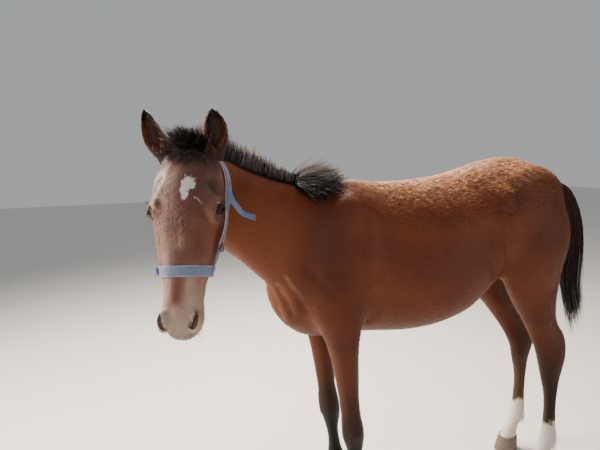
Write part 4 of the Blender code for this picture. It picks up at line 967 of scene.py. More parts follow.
# The tops of the left and right hind socks.
SOCK_TOPS = (0.238, 0.216)
# Small pale scratches over the left eye: distance down the face and to the left.
SCRATCHES = ((0.143, 0.032), (0.147, 0.039), (0.153, 0.045))


def patch(x, z, form):
    """How strongly one soft patch lies at each place."""
    middle_x, spread_x, middle_z, spread_z, strength = form
    return strength * np.exp(-(((x - middle_x) / spread_x) ** 2 + ((z - middle_z) / spread_z) ** 2))


def line_share(value, middle, spread):
    """1 on a soft line and 0 away from it."""
    return np.exp(-(((value - middle) / spread) ** 2))


def mixed(colour, other, share):
    return colour + (np.asarray(other) - colour) * np.clip(share, 0.0, 1.0)[:, None]


def paint_body(points, normals):
    """The coat's colour on the body, neck and legs, with painted shade and painted sunlight on it."""
    x, y, z = points.T
    blotch = ripple(points, 0.16, 1)
    fine = ripple(points, 0.035, 2)
    edge = 0.012 * blotch + 0.006 * fine
    colour = np.tile(BAY, (len(points), 1))
    colour = mixed(colour, BAY_GOLD, 0.85 * step(x, -0.42, -0.56) * step(z, 1.22, 1.12))
    colour = mixed(colour, BAY_GOLD, 0.35 + 0.35 * blotch)
    # Painted shade over the shoulder, the back of the thigh, the lower barrel and the hip.
    colour = mixed(colour, BAY_DARK, sum(patch(x, z, form) for form in SHADE_PATCHES))
    colour = mixed(colour, BAY_DARK, patch(x, z, HIP_SHADE_PATCH))
    # Painted sunlight on the upward-facing top of the back, in a pale sunlit bay.
    lit = step(normals[:, 2], 0.30, 0.95) * step(x, -0.30, -0.18) * step(z, 1.02, 1.12)
    colour = mixed(colour, BAY_SUNLIT_BACK, lit * (0.62 + 0.35 * fine))
    # A painted sheen of sunlight on the loins, in the pale breast colour.
    loin_sheen = patch(x, z, LOIN_SHEEN_PATCH) * (y < 0.05)
    colour = mixed(colour, BREAST_PALE, loin_sheen * (0.45 + 0.45 * fine))
    crest = crest_line()[0]
    off_crest = np.full(len(points), FAR)
    upper = z > 1.0
    off_crest[upper] = np.linalg.norm(points[upper][:, None] - crest[None, 14:78:2], axis=2).min(1)
    colour = mixed(colour, POINT_BLACK, step(off_crest, 0.040 + 0.008 * fine, 0.020))
    for fold in BODY_LINES[-3:]:
        line = smooth_path(fold[0], 0.006)
        off_fold = np.full(len(points), FAR)
        low = (x < -0.40) & (z < 1.0)
        gaps = points[low][:, None] * (1.0, -1.0, 1.0) - line[None]
        off_fold[low] = np.linalg.norm(gaps, axis=2).min(1)
        colour = mixed(colour, BREAST_PALE, (0.45 + 0.25 * fine) * line_share(off_fold, 0.0, 0.007))
    colour = mixed(colour, BAY_DARK, 0.45 * step(z, 0.86, 0.68))
    fore = x < 0.05
    colour = mixed(colour, CANNON_BROWN, fore * step(z + edge, 0.56, 0.40) * 0.9)
    colour = mixed(colour, POINT_BLACK, fore * step(z + edge, 0.44, 0.30))
    colour = mixed(colour, POINT_BLACK, 0.5 * fore * step(z, 0.60, 0.46) * step(x, -0.33, -0.36))
    hind = ~fore
    colour = mixed(colour, CANNON_BROWN, hind * step(z + edge, 0.60, 0.44) * 0.9)
    inner = step(np.abs(y), 0.108, 0.094) * step(z, 0.46, 0.38)
    colour = mixed(colour, CANNON_PALE, hind * inner * 0.2)
    outer = step(np.abs(y), 0.100, 0.112)
    colour = mixed(colour, POINT_BLACK, hind * step(z + edge, 0.46, 0.34) * outer * 0.7)
    top = np.where(y < 0, *SOCK_TOPS)
    colour = mixed(colour, SOCK_WHITE, hind * step(z + 1.4 * edge, top + 0.008, top - 0.008))
    colour = mixed(colour, DUST, 0.35 * step(z, 0.12, 0.05) * (0.5 + 0.5 * fine))
    return colour


def nostril_reach(place, side):
    """How far a place lies from a nostril's middle: 1 on its edge."""
    opens = np.array(turned_to(mirrored(NOSTRIL_OPENS, side), (1.0, 0.0, 0.0)).to_3x3())
    return np.linalg.norm((place - np.array(nostril_place(side))) @ opens / NOSTRIL_SIZE, axis=1)


def star(u, v, fuzz):
    """How far inside the white star a place on the forehead is."""
    main = 1.0 - (np.abs((u - 0.109) / 0.0175) ** 2.6 + np.abs((v - 0.014) / 0.0175) ** 2.6) ** (1 / 2.6)
    tail = 1.0 - np.hypot((u - 0.128 - 0.5 * (v - 0.005)) / 0.020, (v - 0.004) / 0.0095)
    return step(np.maximum(main, tail) + 0.22 * fuzz, -0.04, 0.20)


def paint_head(points, _):
    """The coat's colour on the face, with the star, dark lids and pale muzzle, and painted shade and
    sunlight.
    """
    place = in_head(points)
    u, v, w = place.T
    fine = ripple(points, 0.012, 3)
    blotch = ripple(points, 0.06, 4)
    colour = np.tile(FACE_BROWN, (len(points), 1))
    colour = mixed(colour, FOREHEAD_GREY, step(u, 0.19, 0.10) * step(w, -0.06, -0.02) * 0.9)
    colour = mixed(colour, FACE_CHEEK, step(w, -0.03, -0.075) * step(u, 0.30, 0.22))
    colour = mixed(colour, NOSE_TAN, step(u, 0.24, 0.34) * step(w, -0.11, -0.04) * 0.8)
    sides = 0.9 * (np.abs(v) - 0.022)
    colour = mixed(colour, MUZZLE_GREY, step(u + sides + 0.012 * blotch, 0.345, 0.425) * 0.85)
    pale = step(np.abs(v + 0.006), 0.012, 0.028) * step(u, 0.305, 0.345) * step(w, -0.12, -0.08)
    colour = mixed(colour, MUZZLE_GREY, pale * (0.50 + 0.2 * blotch))
    stripe = line_share(v, -0.009, 0.016) * step(u, 0.29, 0.32) * step(u, 0.412, 0.385)
    colour = mixed(colour, FACE_CHEEK, 0.95 * stripe)
    # The face's right side painted paler: mostly painted sunlight, partly sun-bleached coat.
    sunlit_side = step(v, 0.004, -0.035) * step(u, 0.045, 0.085) * step(w, -0.09, -0.04)
    colour = mixed(colour, FACE_SUNLIT_AND_BLEACHED, sunlit_side * step(u, 0.42, 0.32) * (0.66 + 0.2 * fine + 0.15 * blotch))
    # A painted highlight down the bridge of the nose.
    bridge_highlight = line_share(v, -0.004, 0.012) * step(u, 0.15, 0.19) * step(u, 0.29, 0.25)
    colour = mixed(colour, FACE_SUNLIT_AND_BLEACHED, bridge_highlight * (0.30 + 0.35 * fine))
    colour = mixed(colour, NOSE_SKIN, step(u + 0.4 * (-w - 0.08), 0.435, 0.462) * (0.5 + 0.3 * fine))
    colour = mixed(colour, BAY_DARK, (0.18 + 0.22 * blotch) * step(u, 0.34, 0.30))
    for side in (-1, 1):
        middle = np.array(mirrored(EYE_PLACE, side))
        near = np.linalg.norm(place - middle, axis=1)
        colour = mixed(colour, NOSE_TAN, step(near, 0.044, 0.033) * 0.35)
        colour = mixed(colour, LIDS_DARK_AND_PAINTED_SHADE, step(near, 0.0295, 0.0255) * 0.9)
        # Painted shade in the hollow above each eye.
        hollow_shade = np.linalg.norm((place - (0.108, side * 0.068, -0.012)) * (0.7, 1.2, 1.0), axis=1)
        colour = mixed(colour, LIDS_DARK_AND_PAINTED_SHADE, step(hollow_shade, 0.022, 0.006) * 0.65)
        reach = nostril_reach(place, side)
        colour = mixed(colour, MUZZLE_GREY, line_share(reach, 1.75, 0.35) * 0.5)
        # Dark skin in the nostrils, with painted shade round their openings.
        colour = mixed(colour, LIDS_DARK_AND_PAINTED_SHADE, step(reach, 1.55, 1.15) * 0.85)
    colour = mixed(colour, HAIR_BROWN, step(u + 0.012 * fine, 0.062, 0.030) * step(w, -0.05, -0.01) * 0.8)
    dirt = step(ripple(points, 0.0045, 6), 0.25, 0.65) * step(u, 0.09, 0.14) * step(u, 0.27, 0.21)
    colour = mixed(colour, BAY_DARK, dirt * step(v, 0.045, 0.010) * step(w, -0.06, -0.02) * 0.55)
    shaded = np.linalg.norm((place - (0.146, -0.060, 0.000)) * (0.45, 1.2, 1.0), axis=1)
    colour = mixed(colour, LIDS_DARK_AND_PAINTED_SHADE, step(shaded, 0.013, 0.004) * 0.7)
    for down, across in SCRATCHES:
        mark = np.hypot((u - down - 0.6 * (v - across)) / 0.0016, (v - across) / 0.0038)
        colour = mixed(colour, STAR_WHITE, step(mark, 1.3, 0.6) * (w > -0.06) * 0.6)
    # Painted shade along the parting of the lips.
    line = np.abs(w + 0.106) < 0.006
    colour = mixed(colour, LIDS_DARK_AND_PAINTED_SHADE, line * step(u, 0.39, 0.40) * 0.6)
    colour = mixed(colour, STAR_WHITE, star(u, v, fine) * (w > -0.04))
    return colour


def paint_ear(points, normals, name):
    """Black tip and rim, brown back and dark inside of an ear, with a tan line along the rim."""
    foot, forward, _, up = ear_axes(name)
    share = (points - foot) @ up / EARS[name][3]
    facing = normals @ forward
    fine = ripple(points, 0.010, 5)
    colour = np.tile(EAR_BACK, (len(points), 1))
    colour = mixed(colour, EAR_INSIDE, step(facing + 0.15 * fine, 0.25, 0.95) * 0.88)
    rim = line_share(facing, -0.02, 0.20)
    colour = mixed(colour, EAR_RIM, rim * step(share, 0.05, 0.2) * step(share, 0.90, 0.7) * 0.75)
    return mixed(colour, POINT_BLACK, step(share + 0.04 * fine, 0.62, 0.84))


def paint(points, normals, part):
    """The coat's colour at any places on the skin."""
    colour = np.empty((len(points), 3))
    for index, how in enumerate((paint_body, paint_head)):
        chosen = part == index
        colour[chosen] = how(points[chosen], normals[chosen])
    for index, name in enumerate(EARS):
        chosen = part == index + 2
        colour[chosen] = paint_ear(points[chosen], normals[chosen], name)
    return colour


def lie_of_coat(points, part):
    """The way the hair lies at each place, before it is laid flat on the skin."""
    x, _, z = points.T
    down = np.tile((0.12, 0.0, -1.0), (len(points), 1))
    way = np.tile((1.0, 0.0, -0.40), (len(points), 1))
    way = mixed(way, (0.62, 0.30, -0.72), step(x, -0.36, -0.46) * step(z, 0.86, 0.96))
    way = mixed(way, (0.10, 0.0, -1.0), step(x, -0.44, -0.50) * step(z, 0.96, 0.86))
    way = mixed(way, (0.45, 0.0, -0.90), step(x, 0.42, 0.52))
    way = mixed(way, down, step(z, 0.84, 0.72))
    head = part == 1
    if head.any():
        place = in_head(points[head])
        u, v, w = place.T
        from_whorl = np.stack([u - 0.118, v * 1.3, 0.0 * u], 1)
        face = np.stack([1.0 + 0 * u, 3.0 * v, -0.4 + 0 * u], 1)
        local = mixed(unit(from_whorl), face, step(u, 0.118, 0.150))
        local = mixed(local, (0.35, 0.0, -0.90), step(w, -0.060, -0.095) * step(u, 0.38, 0.30))
        way[head] = local @ np.array(head_matrix().to_3x3()).T
    for index, name in enumerate(EARS):
        chosen = part == index + 2
        way[chosen] = ear_axes(name)[3]
    return way


def fluffiness(points, part):
    """1 where the old coat stands up in fluff, along the back and loins, and 0 where it lies sleek."""
    x, _, z = points.T
    height = step(z + 0.025 * ripple(points, 0.10, 8), 1.03, 1.10)
    return height * step(x, -0.26, -0.14) * step(x, 0.60, 0.45) * (part == 0)


# Length, width, lift of the tip and crowding of the tufts on the body, and what fluff and legs add to
# them; the same on the head, and what the muzzle adds; and on the ears.
BODY_TUFTS = np.array((0.0105, 0.0027, 0.0018, 1.0))
FLUFF_ADDS = np.array((0.0040, -0.0003, 0.0028, 0.8))
LEG_ADDS = np.array((-0.0035, -0.0009, -0.0007, 1.3))
HEAD_TUFTS = np.array((0.0056, 0.0017, 0.0009, 4.2))
MUZZLE_ADDS = np.array((-0.0024, -0.0005, -0.0003, 1.8))
EAR_TUFTS = np.array((0.0050, 0.0014, 0.0006, 5.0))
# How far outside the eyeball and the nostril the skin is bare.
BARE_ROUND_EYE = 0.0040
BARE_ROUND_NOSTRIL = 1.25


def coat_sizes(points, part):
    """Length, width, lift of the tip and crowding of the tufts at each place."""
    place = in_head(points)
    fluff = fluffiness(points, part)[:, None]
    leg = step(points[:, 2], 0.72, 0.55)[:, None]
    muzzle = step(place[:, 0], 0.33, 0.40)[:, None]
    head = part == 1
    sizes = BODY_TUFTS + FLUFF_ADDS * fluff + LEG_ADDS * leg
    sizes = np.where(head[:, None], HEAD_TUFTS + MUZZLE_ADDS * muzzle, sizes)
    sizes = np.where((part > 1)[:, None], EAR_TUFTS, sizes)
    for side in (-1, 1):
        from_eye = np.linalg.norm(place - np.array(mirrored(EYE_PLACE, side)), axis=1)
        bare = (from_eye < EYE_RADIUS + BARE_ROUND_EYE) | (nostril_reach(place, side) < BARE_ROUND_NOSTRIL)
        sizes[head & bare, 3] = 0.0
    return sizes.T


# How many tufts cover the skin and go in one piece, how deep they root, and thickness as a share of width.
TUFTS = 128000
TUFTS_A_PIECE = 19500
SINK = 0.0012
TUFT_THICKNESS = 0.22
# How large a tuft's patch is on the coat's map, and how many triangles the map is drawn on.
PATCH = 0.003
MAP_TRIANGLES = 5000


def scattered(skin, part, random):
    """Random places on the skin, closer together where the hair is finer, with their normal and part."""
    corners, normals, faces = corners_of(skin.data), normals_of(skin.data), triangles_of(skin.data)
    a, b, c = corners[faces[:, 0]], corners[faces[:, 1]], corners[faces[:, 2]]
    area = np.linalg.norm(np.cross(b - a, c - a), axis=1) / 2
    face_part = part[faces[:, 0]]
    crowd = coat_sizes((a + b + c) / 3, face_part)[3]
    weight = np.cumsum(area * crowd)
    chosen = np.searchsorted(weight, random.uniform(0, weight[-1], TUFTS))
    r = np.sqrt(random.uniform(size=(TUFTS, 1)))
    s = random.uniform(size=(TUFTS, 1))
    shares = np.concatenate([1 - r, r * (1 - s), r * s], 1)
    picked = faces[chosen]
    points = np.einsum("nk,nkd->nd", shares, corners[picked])
    facing = unit(np.einsum("nk,nkd->nd", shares, normals[picked]))
    return points, facing, face_part[chosen]


def coat_map(skin):
    """An unwrap of a thinned copy of the skin, read at any place by the nearest point on it."""
    copy = bpy.data.objects.new("coat map", skin.data.copy())
    bpy.context.scene.collection.objects.link(copy)
    ratio = MAP_TRIANGLES / len(triangles_of(copy.data))
    apply_modifier(copy, "DECIMATE", ratio=ratio)
    apply_modifier(copy, "TRIANGULATE")
    select_only(copy)
    bpy.ops.object.mode_set(mode="EDIT")
    bpy.ops.mesh.select_all(action="SELECT")
    bpy.ops.uv.smart_project(angle_limit=math.radians(66), island_margin=0.004)
    bpy.ops.object.mode_set(mode="OBJECT")
    mesh = copy.data
    corners = corners_of(mesh)
    faces = np.array([list(face.vertices) for face in mesh.polygons])
    flat = np.empty(len(mesh.loops) * 2)
    mesh.uv_layers.active.data.foreach_get("uv", flat)
    flat = flat.reshape(-1, 3, 2)
    tree = BVHTree.FromPolygons(corners.tolist(), faces.tolist())
    bpy.data.objects.remove(copy)

    def read(points):
        hits = [tree.find_nearest(point) for point in points]
        index = np.array([hit[2] for hit in hits])
        place = np.array([hit[0] for hit in hits])
        a, b, c = (corners[faces[index, k]] for k in range(3))
        normal = np.cross(b - a, c - a)
        size = (normal**2).sum(1)
        far_b = (np.cross(place - a, c - a) * normal).sum(1) / size
        far_c = (np.cross(b - a, place - a) * normal).sum(1) / size
        shares = np.stack([1 - far_b - far_c, far_b, far_c], 1)
        return np.einsum("nk,nkd->nd", shares, flat[index])

    return read


def carry_colour(mesh, shade):
    """Keeps a colour at each corner of the mesh."""
    layer = mesh.color_attributes.new("coat_colour", "FLOAT_COLOR", "POINT")
    layer.data.foreach_set("color", shade.ravel())


def hair_mesh(name, paths, flats, widths, thick, colours, places, facing=None):
    """A closed, three-sided, tapering lock along each path, with its colour and its patch of the map.

    Where the way out of the skin is given, the hair is lit as the skin under it, as sleek hair is.
    """
    count, steps = paths.shape[:2]
    run = np.gradient(paths, axis=1)[:, :-1]
    side = unit(np.cross(run, flats[:, None]))
    top = unit(np.cross(side, run))
    half = side * widths[:, :, None] / 2
    ridge = top * (widths * thick)[:, :, None]
    rings = np.stack([paths[:, :-1] - half, paths[:, :-1] + half, paths[:, :-1] + ridge], 2)
    rows = steps - 1
    corners = np.concatenate([rings.reshape(count, rows * 3, 3), paths[:, -1:]], 1)
    one = [(0, 1, 2)]
    for row in range(rows - 1):
        for k in range(3):
            near, after = row * 3 + k, row * 3 + (k + 1) % 3
            one += [(near, after + 3, after), (near, near + 3, after + 3)]
    one += [((rows - 1) * 3 + (k + 1) % 3, (rows - 1) * 3 + k, rows * 3) for k in range(3)]
    one = np.array(one)
    each = rows * 3 + 1
    faces = (one[None] + (np.arange(count) * each)[:, None, None]).reshape(-1, 3)
    mesh = bpy.data.meshes.new(name)
    mesh.vertices.add(count * each)
    mesh.vertices.foreach_set("co", corners.astype(np.float32).ravel())
    mesh.loops.add(faces.size)
    mesh.loops.foreach_set("vertex_index", faces.astype(np.int32).ravel())
    mesh.polygons.add(len(faces))
    mesh.polygons.foreach_set("loop_start", np.arange(0, faces.size, 3, dtype=np.int32))
    mesh.update(calc_edges=True)
    along_it = np.append(np.repeat(np.arange(rows) / rows, 3), 1.0)
    across_it = np.append(np.tile((0.0, 1.0, 0.5), rows), 0.5)
    shade = np.ones((count, each, 4))
    root_colour, tip_colour = colours
    share = along_it[None, :, None]
    shade[:, :, :3] = root_colour[:, None] * (1 - share) + tip_colour[:, None] * share
    carry_colour(mesh, shade)
    spread = (np.stack([across_it, along_it], 1) - 0.5) * PATCH
    flat = (places[:, None] + spread[None]).reshape(-1, 2)
    flat = flat[faces.ravel()]
    mesh.uv_layers.new(name="OFBake").data.foreach_set("uv", flat.ravel())
    mesh.shade_smooth()
    if facing is not None:
        mesh.normals_split_custom_set_from_vertices(np.repeat(facing, each, axis=0))
    made = bpy.data.objects.new(name, mesh)
    bpy.context.scene.collection.objects.link(made)
    return made


def gathered(paths, key, size, pull):
    """Draws neighbouring strands together towards their tips, about so many to a lock."""
    lock = np.empty(len(paths), int)
    lock[np.argsort(key)] = np.arange(len(paths)) // size
    total = np.zeros((lock.max() + 1,) + paths.shape[1:])
    np.add.at(total, lock, paths)
    middle = (total / np.bincount(lock)[:, None, None])[lock]
    share = np.linspace(0.0, 1.0, paths.shape[1])[None, :, None] ** 1.6
    return paths + (middle - paths) * share * pull


def coat(skin, part, read_map, random):
    """Short tufts that lie over the whole skin, in pieces by where they grow."""
    points, facing, of = scattered(skin, part, random)
    length, width, lift = coat_sizes(points, of)[:3]
    way = lie_of_coat(points, of) + random.normal(size=points.shape) * 0.07
    way = unit(way - (way * facing).sum(1)[:, None] * facing)
    length = length * random.uniform(0.75, 1.25, len(points))
    lift = lift * random.uniform(0.6, 1.3, len(points))
    start = points - facing * SINK
    middle = points + way * (length * 0.5)[:, None] + facing * (lift * 0.75)[:, None]
    tip = points + way * length[:, None] + facing * lift[:, None]
    paths = np.stack([start, middle, tip], 1)
    widths = np.stack([width * 0.7, width], 1)
    colour = paint(points, facing, of)
    fluff = fluffiness(points, of)[:, None]
    tone = np.exp(random.normal(size=(len(points), 1)) * (0.06 + 0.08 * fluff))
    # Each tuft is darker at its root and lighter at its tip, more so in the fluff: painted shade at the roots
    # and painted light on the tips.
    root, end = colour * tone * (0.90 - 0.15 * fluff), colour * tone * (1.06 + 0.22 * fluff)
    lit = unit(facing + random.normal(size=points.shape) * (0.05 + 0.16 * fluff) + way * 0.06)
    flat = read_map(points)
    x, y, z = points.T
    region = np.select(
        [of > 1, of == 1, (z < 0.66) & (x < 0.1), z < 0.70, x < -0.43, x < -0.12, x < 0.22],
        ["ears", "head", "forelegs", "hindlegs", "neck", "shoulder", "barrel"],
        "rump",
    )
    sided = np.isin(region, ("shoulder", "barrel", "rump", "neck"))
    region = np.where(sided, np.char.add(region, np.where(y < 0, "_left", "_right")), region)
    made = []
    for name in sorted(set(region)):
        chosen = np.nonzero(region == name)[0]
        for k in range(0, len(chosen), TUFTS_A_PIECE):
            some = chosen[k : k + TUFTS_A_PIECE]
            label = "coat_" + name + ("" if k == 0 else "_more")
            form = (paths[some], facing[some], widths[some], TUFT_THICKNESS)
            made.append(hair_mesh(label, *form, (root[some], end[some]), flat[some], lit[some]))
    return made


def bent_paths(roots, headings, lengths, droops, steps, sink=0.006):
    """Paths that leave their roots one way and bend over by their own weight."""
    heading = unit(headings)
    points = [roots - heading * sink, roots]
    for _ in range(steps - 1):
        heading = unit(heading + droops / (steps - 1))
        points.append(points[-1] + heading * (lengths / (steps - 1))[:, None])
    return np.stack(points, 1)


def waved(paths, random, amount):
    """Gives each path a slight wave of its own, growing towards its tip."""
    share = np.linspace(0.0, 1.0, paths.shape[1])[None, :, None]
    way = random.normal(size=(len(paths), 1, 3))
    phase = random.uniform(0, 6.3, (len(paths), 1, 1))
    turns = random.uniform(3.0, 7.0, (len(paths), 1, 1))
    return paths + way * amount * share * np.sin(phase + turns * share)


def tapered(width, rows):
    share = np.linspace(0.0, 1.0, rows + 1)[:-1]
    return width[:, None] * ((1.0 - share**1.8) * (0.8 + 0.4 * np.sin(share * math.pi)))[None]


# The colours of long hair.
HAIR_BLACK = linear("#141012")
HAIR_BROWN = linear("#33231f")
HAIR_BLEACHED_AND_GLINTING = linear("#b3aaa6")


def hair_colours(count, random, bleached_and_glinting, brown=0.25):
    """Root and tip colours of black hair, some of it brown, with a share of pale tips: sun-bleached hair and
    painted glints of sunlight.
    """
    root = np.tile(HAIR_BLACK, (count, 1)) * random.uniform(0.6, 1.5, (count, 1))
    root = mixed(root, HAIR_BROWN, (random.uniform(size=count) < brown) * 0.6)
    tip = mixed(root, HAIR_BROWN, random.uniform(0.0, 0.5, count))
    tip = mixed(tip, HAIR_BLEACHED_AND_GLINTING, (random.uniform(size=count) < bleached_and_glinting) * random.uniform(0.4, 1.0, count))
    return root, tip


# The first place of the mane's row on the crest's line, and how many places it runs on.
MANE_FIRST = 33
MANE_REACH = 43.5
# How many strands and broad locks each growth of long hair has.
MANE_STRANDS = 3400
WITHERS_STRANDS = 1500
FORELOCK_STRANDS = 2300
TAIL_STRANDS = 2200
TAIL_BED_LOCKS = 60
# The thickness of long hair as a share of its width.
STRAND_THICKNESS = 0.5


def mane_bed():
    """The dense foot of the mane, under its strands."""
    crest, side, up = crest_line()[:3]
    share = np.linspace(0.0, 1.0, 62)
    height = 0.026 * np.clip(share / 0.12, 0.1, 1.0) + 0.004 * share
    ends = np.sqrt(np.clip(1.0 - (2.0 * share - 1.0) ** 8, 0.02, 1.0))
    two = np.full(62, 1.6)
    sizes = np.stack([height * ends, 0.014 + 0 * height, 0.011 * ends, two, two], 1)
    return loft("mane_bed", crest[14:76] - up[14:76] * 0.004, side[14:76], up[14:76], sizes, 20)


def mane(read_map, random):
    """Short upstanding hair along the crest and a fan of longer hair over the withers."""
    crest, side, up, run = crest_line()
    count = MANE_STRANDS
    at = MANE_FIRST + random.uniform(0, 1, count) ** 0.9 * MANE_REACH
    i = at.astype(int)
    part_way = (at - i)[:, None]
    row = random.uniform(-1, 1, count)[:, None]
    base = crest[i] * (1 - part_way) + crest[i + 1] * part_way
    roots = base + side[i] * row * 0.013 - up[i] * (0.003 + 0.006 * row**2)
    share = (at - MANE_FIRST) / MANE_REACH
    full = 0.62 + 0.38 * step(share, 0.0, 0.3)
    lengths = (0.060 + 0.022 * share) * full * random.uniform(0.40, 1.22, count)
    clump = ripple(roots, 0.045, 6)[:, None]
    lengths = lengths * (1.0 + 0.22 * ripple(roots, 0.022, 12))
    forth = random.normal(0.42, 0.24, (count, 1)) + 0.24 * clump + (0.35 * step(share, 0.3, 0.0))[:, None]
    lean = up[i] + side[i] * (row * 0.30 + 0.14 * clump + random.normal(0, 0.10, (count, 1))) + run[i] * forth
    droop = np.array((-0.10, -0.26, -0.34)) * random.uniform(0.1, 1.7, (count, 1))
    paths = waved(bent_paths(roots, lean, lengths, droop, 6), random, 0.0026)
    paths = gathered(paths, at + row[:, 0] * 0.4, 9, 0.5)
    flats = unit(side[i] + run[i] * random.normal(0, 0.3, (count, 1)))
    widths = tapered(random.uniform(0.0013, 0.0030, count), 6)
    colours = hair_colours(count, random, 0.5)
    made = [hair_mesh("mane", paths, flats, widths, STRAND_THICKNESS, colours, read_map(roots))]
    count = WITHERS_STRANDS
    at = 10 + random.beta(1.8, 1.0, count) * 24
    i = at.astype(int)
    base = crest[i] + (crest[i + 1] - crest[i]) * (at - i)[:, None]
    spread = random.uniform(-0.50, 1.0, count)[:, None]
    roots = base + side[i] * (0.010 - 0.026 * spread) - up[i] * (0.002 + 0.012 * np.abs(spread))
    lean = np.concatenate([0.80 - 0.50 * spread, -0.12 - 0.70 * spread, 0.85 - 1.25 * spread], 1)
    lean = lean + random.normal(0, 0.20, (count, 3))
    droop = np.array((0.30, -0.10, -0.42)) * random.uniform(0.2, 1.3, (count, 1))
    lengths = random.uniform(0.065, 0.125, count) * (0.75 + 0.4 * step(at, 14, 30))
    lengths = lengths * random.uniform(0.7, 1.15, count)
    paths = waved(bent_paths(roots, lean, lengths, droop, 7), random, 0.004)
    paths = gathered(paths, at * 0.15 + spread[:, 0] * 3.0, 12, 0.40)
    flats = np.where(spread > 0.4, (0.2, -1.0, 0.4), (0.2, -0.8, 0.9))
    widths = tapered(random.uniform(0.0014, 0.0034, count), 7)
    root, tip = hair_colours(count, random, 0.65)
    # The hair that hangs on the near side is painted darker, without pale tips: painted shade on the side
    # away from the light.
    root = mixed(root, HAIR_BLACK, step(spread[:, 0], 0.0, 0.4))
    tip = mixed(tip, HAIR_BLACK * 0.7, step(spread[:, 0], 0.1, 0.5) * (random.uniform(size=count) < 0.93))
    form = (paths, flats, widths, STRAND_THICKNESS)
    made.append(hair_mesh("withers_tuft", *form, (root, tip), read_map(roots)))
    return made


def forelock(read_map, random):
    """A brush of hair between the ears, upright behind and falling on to the forehead in front."""
    turned = np.array(head_matrix().to_3x3())
    count = FORELOCK_STRANDS
    share = random.uniform(0, 1, count)
    across = random.normal(0, 0.020, count).clip(-0.042, 0.042)
    place = np.stack([-0.034 + 0.064 * share, across, 0.004 - 0.016 * (1 - share) ** 2 - 7 * across**2], 1)
    roots = np.array([head_matrix() @ Vector(p) for p in place])
    sideways = across * 9 + random.normal(-0.10, 0.20, count)
    lean = np.stack([-0.70 + 1.45 * share, sideways, 0.80 - 0.55 * share**2], 1) @ turned.T
    droop = np.array((0.0, -0.40, -0.40)) * random.uniform(0.5, 1.4, (count, 1))
    lengths = random.uniform(0.026, 0.066, count) * (1.0 - 0.30 * share)
    paths = waved(bent_paths(roots, lean, lengths, droop, 6), random, 0.0014)
    paths = gathered(paths, share * 2.5 + across * 60, 9, 0.25)
    flats = unit(np.stack([0.3 + 0 * share, random.uniform(-0.6, 0.6, count), 1 + 0 * share], 1) @ turned.T)
    widths = tapered(random.uniform(0.0008, 0.0019, count), 6)
    root, tip = hair_colours(count, random, 0.14, 0.45)
    brown = step(share, 0.45, 0.95)
    root = mixed(root, HAIR_BROWN, brown * 0.7)
    tip = mixed(tip, FOREHEAD_GREY, brown * random.uniform(0.1, 0.8, count))
    # Pale tips over the front of the forelock: sun-bleached hair and painted glints of sunlight.
    tip = mixed(tip, HAIR_BLEACHED_AND_GLINTING, (random.uniform(size=count) < 0.22) * step(share, 0.4, 0.7) * 0.7)
    return hair_mesh("forelock", paths, flats, widths, STRAND_THICKNESS, (root, tip), read_map(roots))


# The middle, half depth and half width of the tail's hair, which spreads into loose tips.
TAIL_HAIR = TAIL_FORM[:6] + (
    (0.710, -0.002, 0.700, 0.044, 0.038),
    (0.724, -0.006, 0.630, 0.046, 0.036),
    (0.734, -0.010, 0.565, 0.040, 0.030),
    (0.742, -0.012, 0.520, 0.034, 0.024),
)


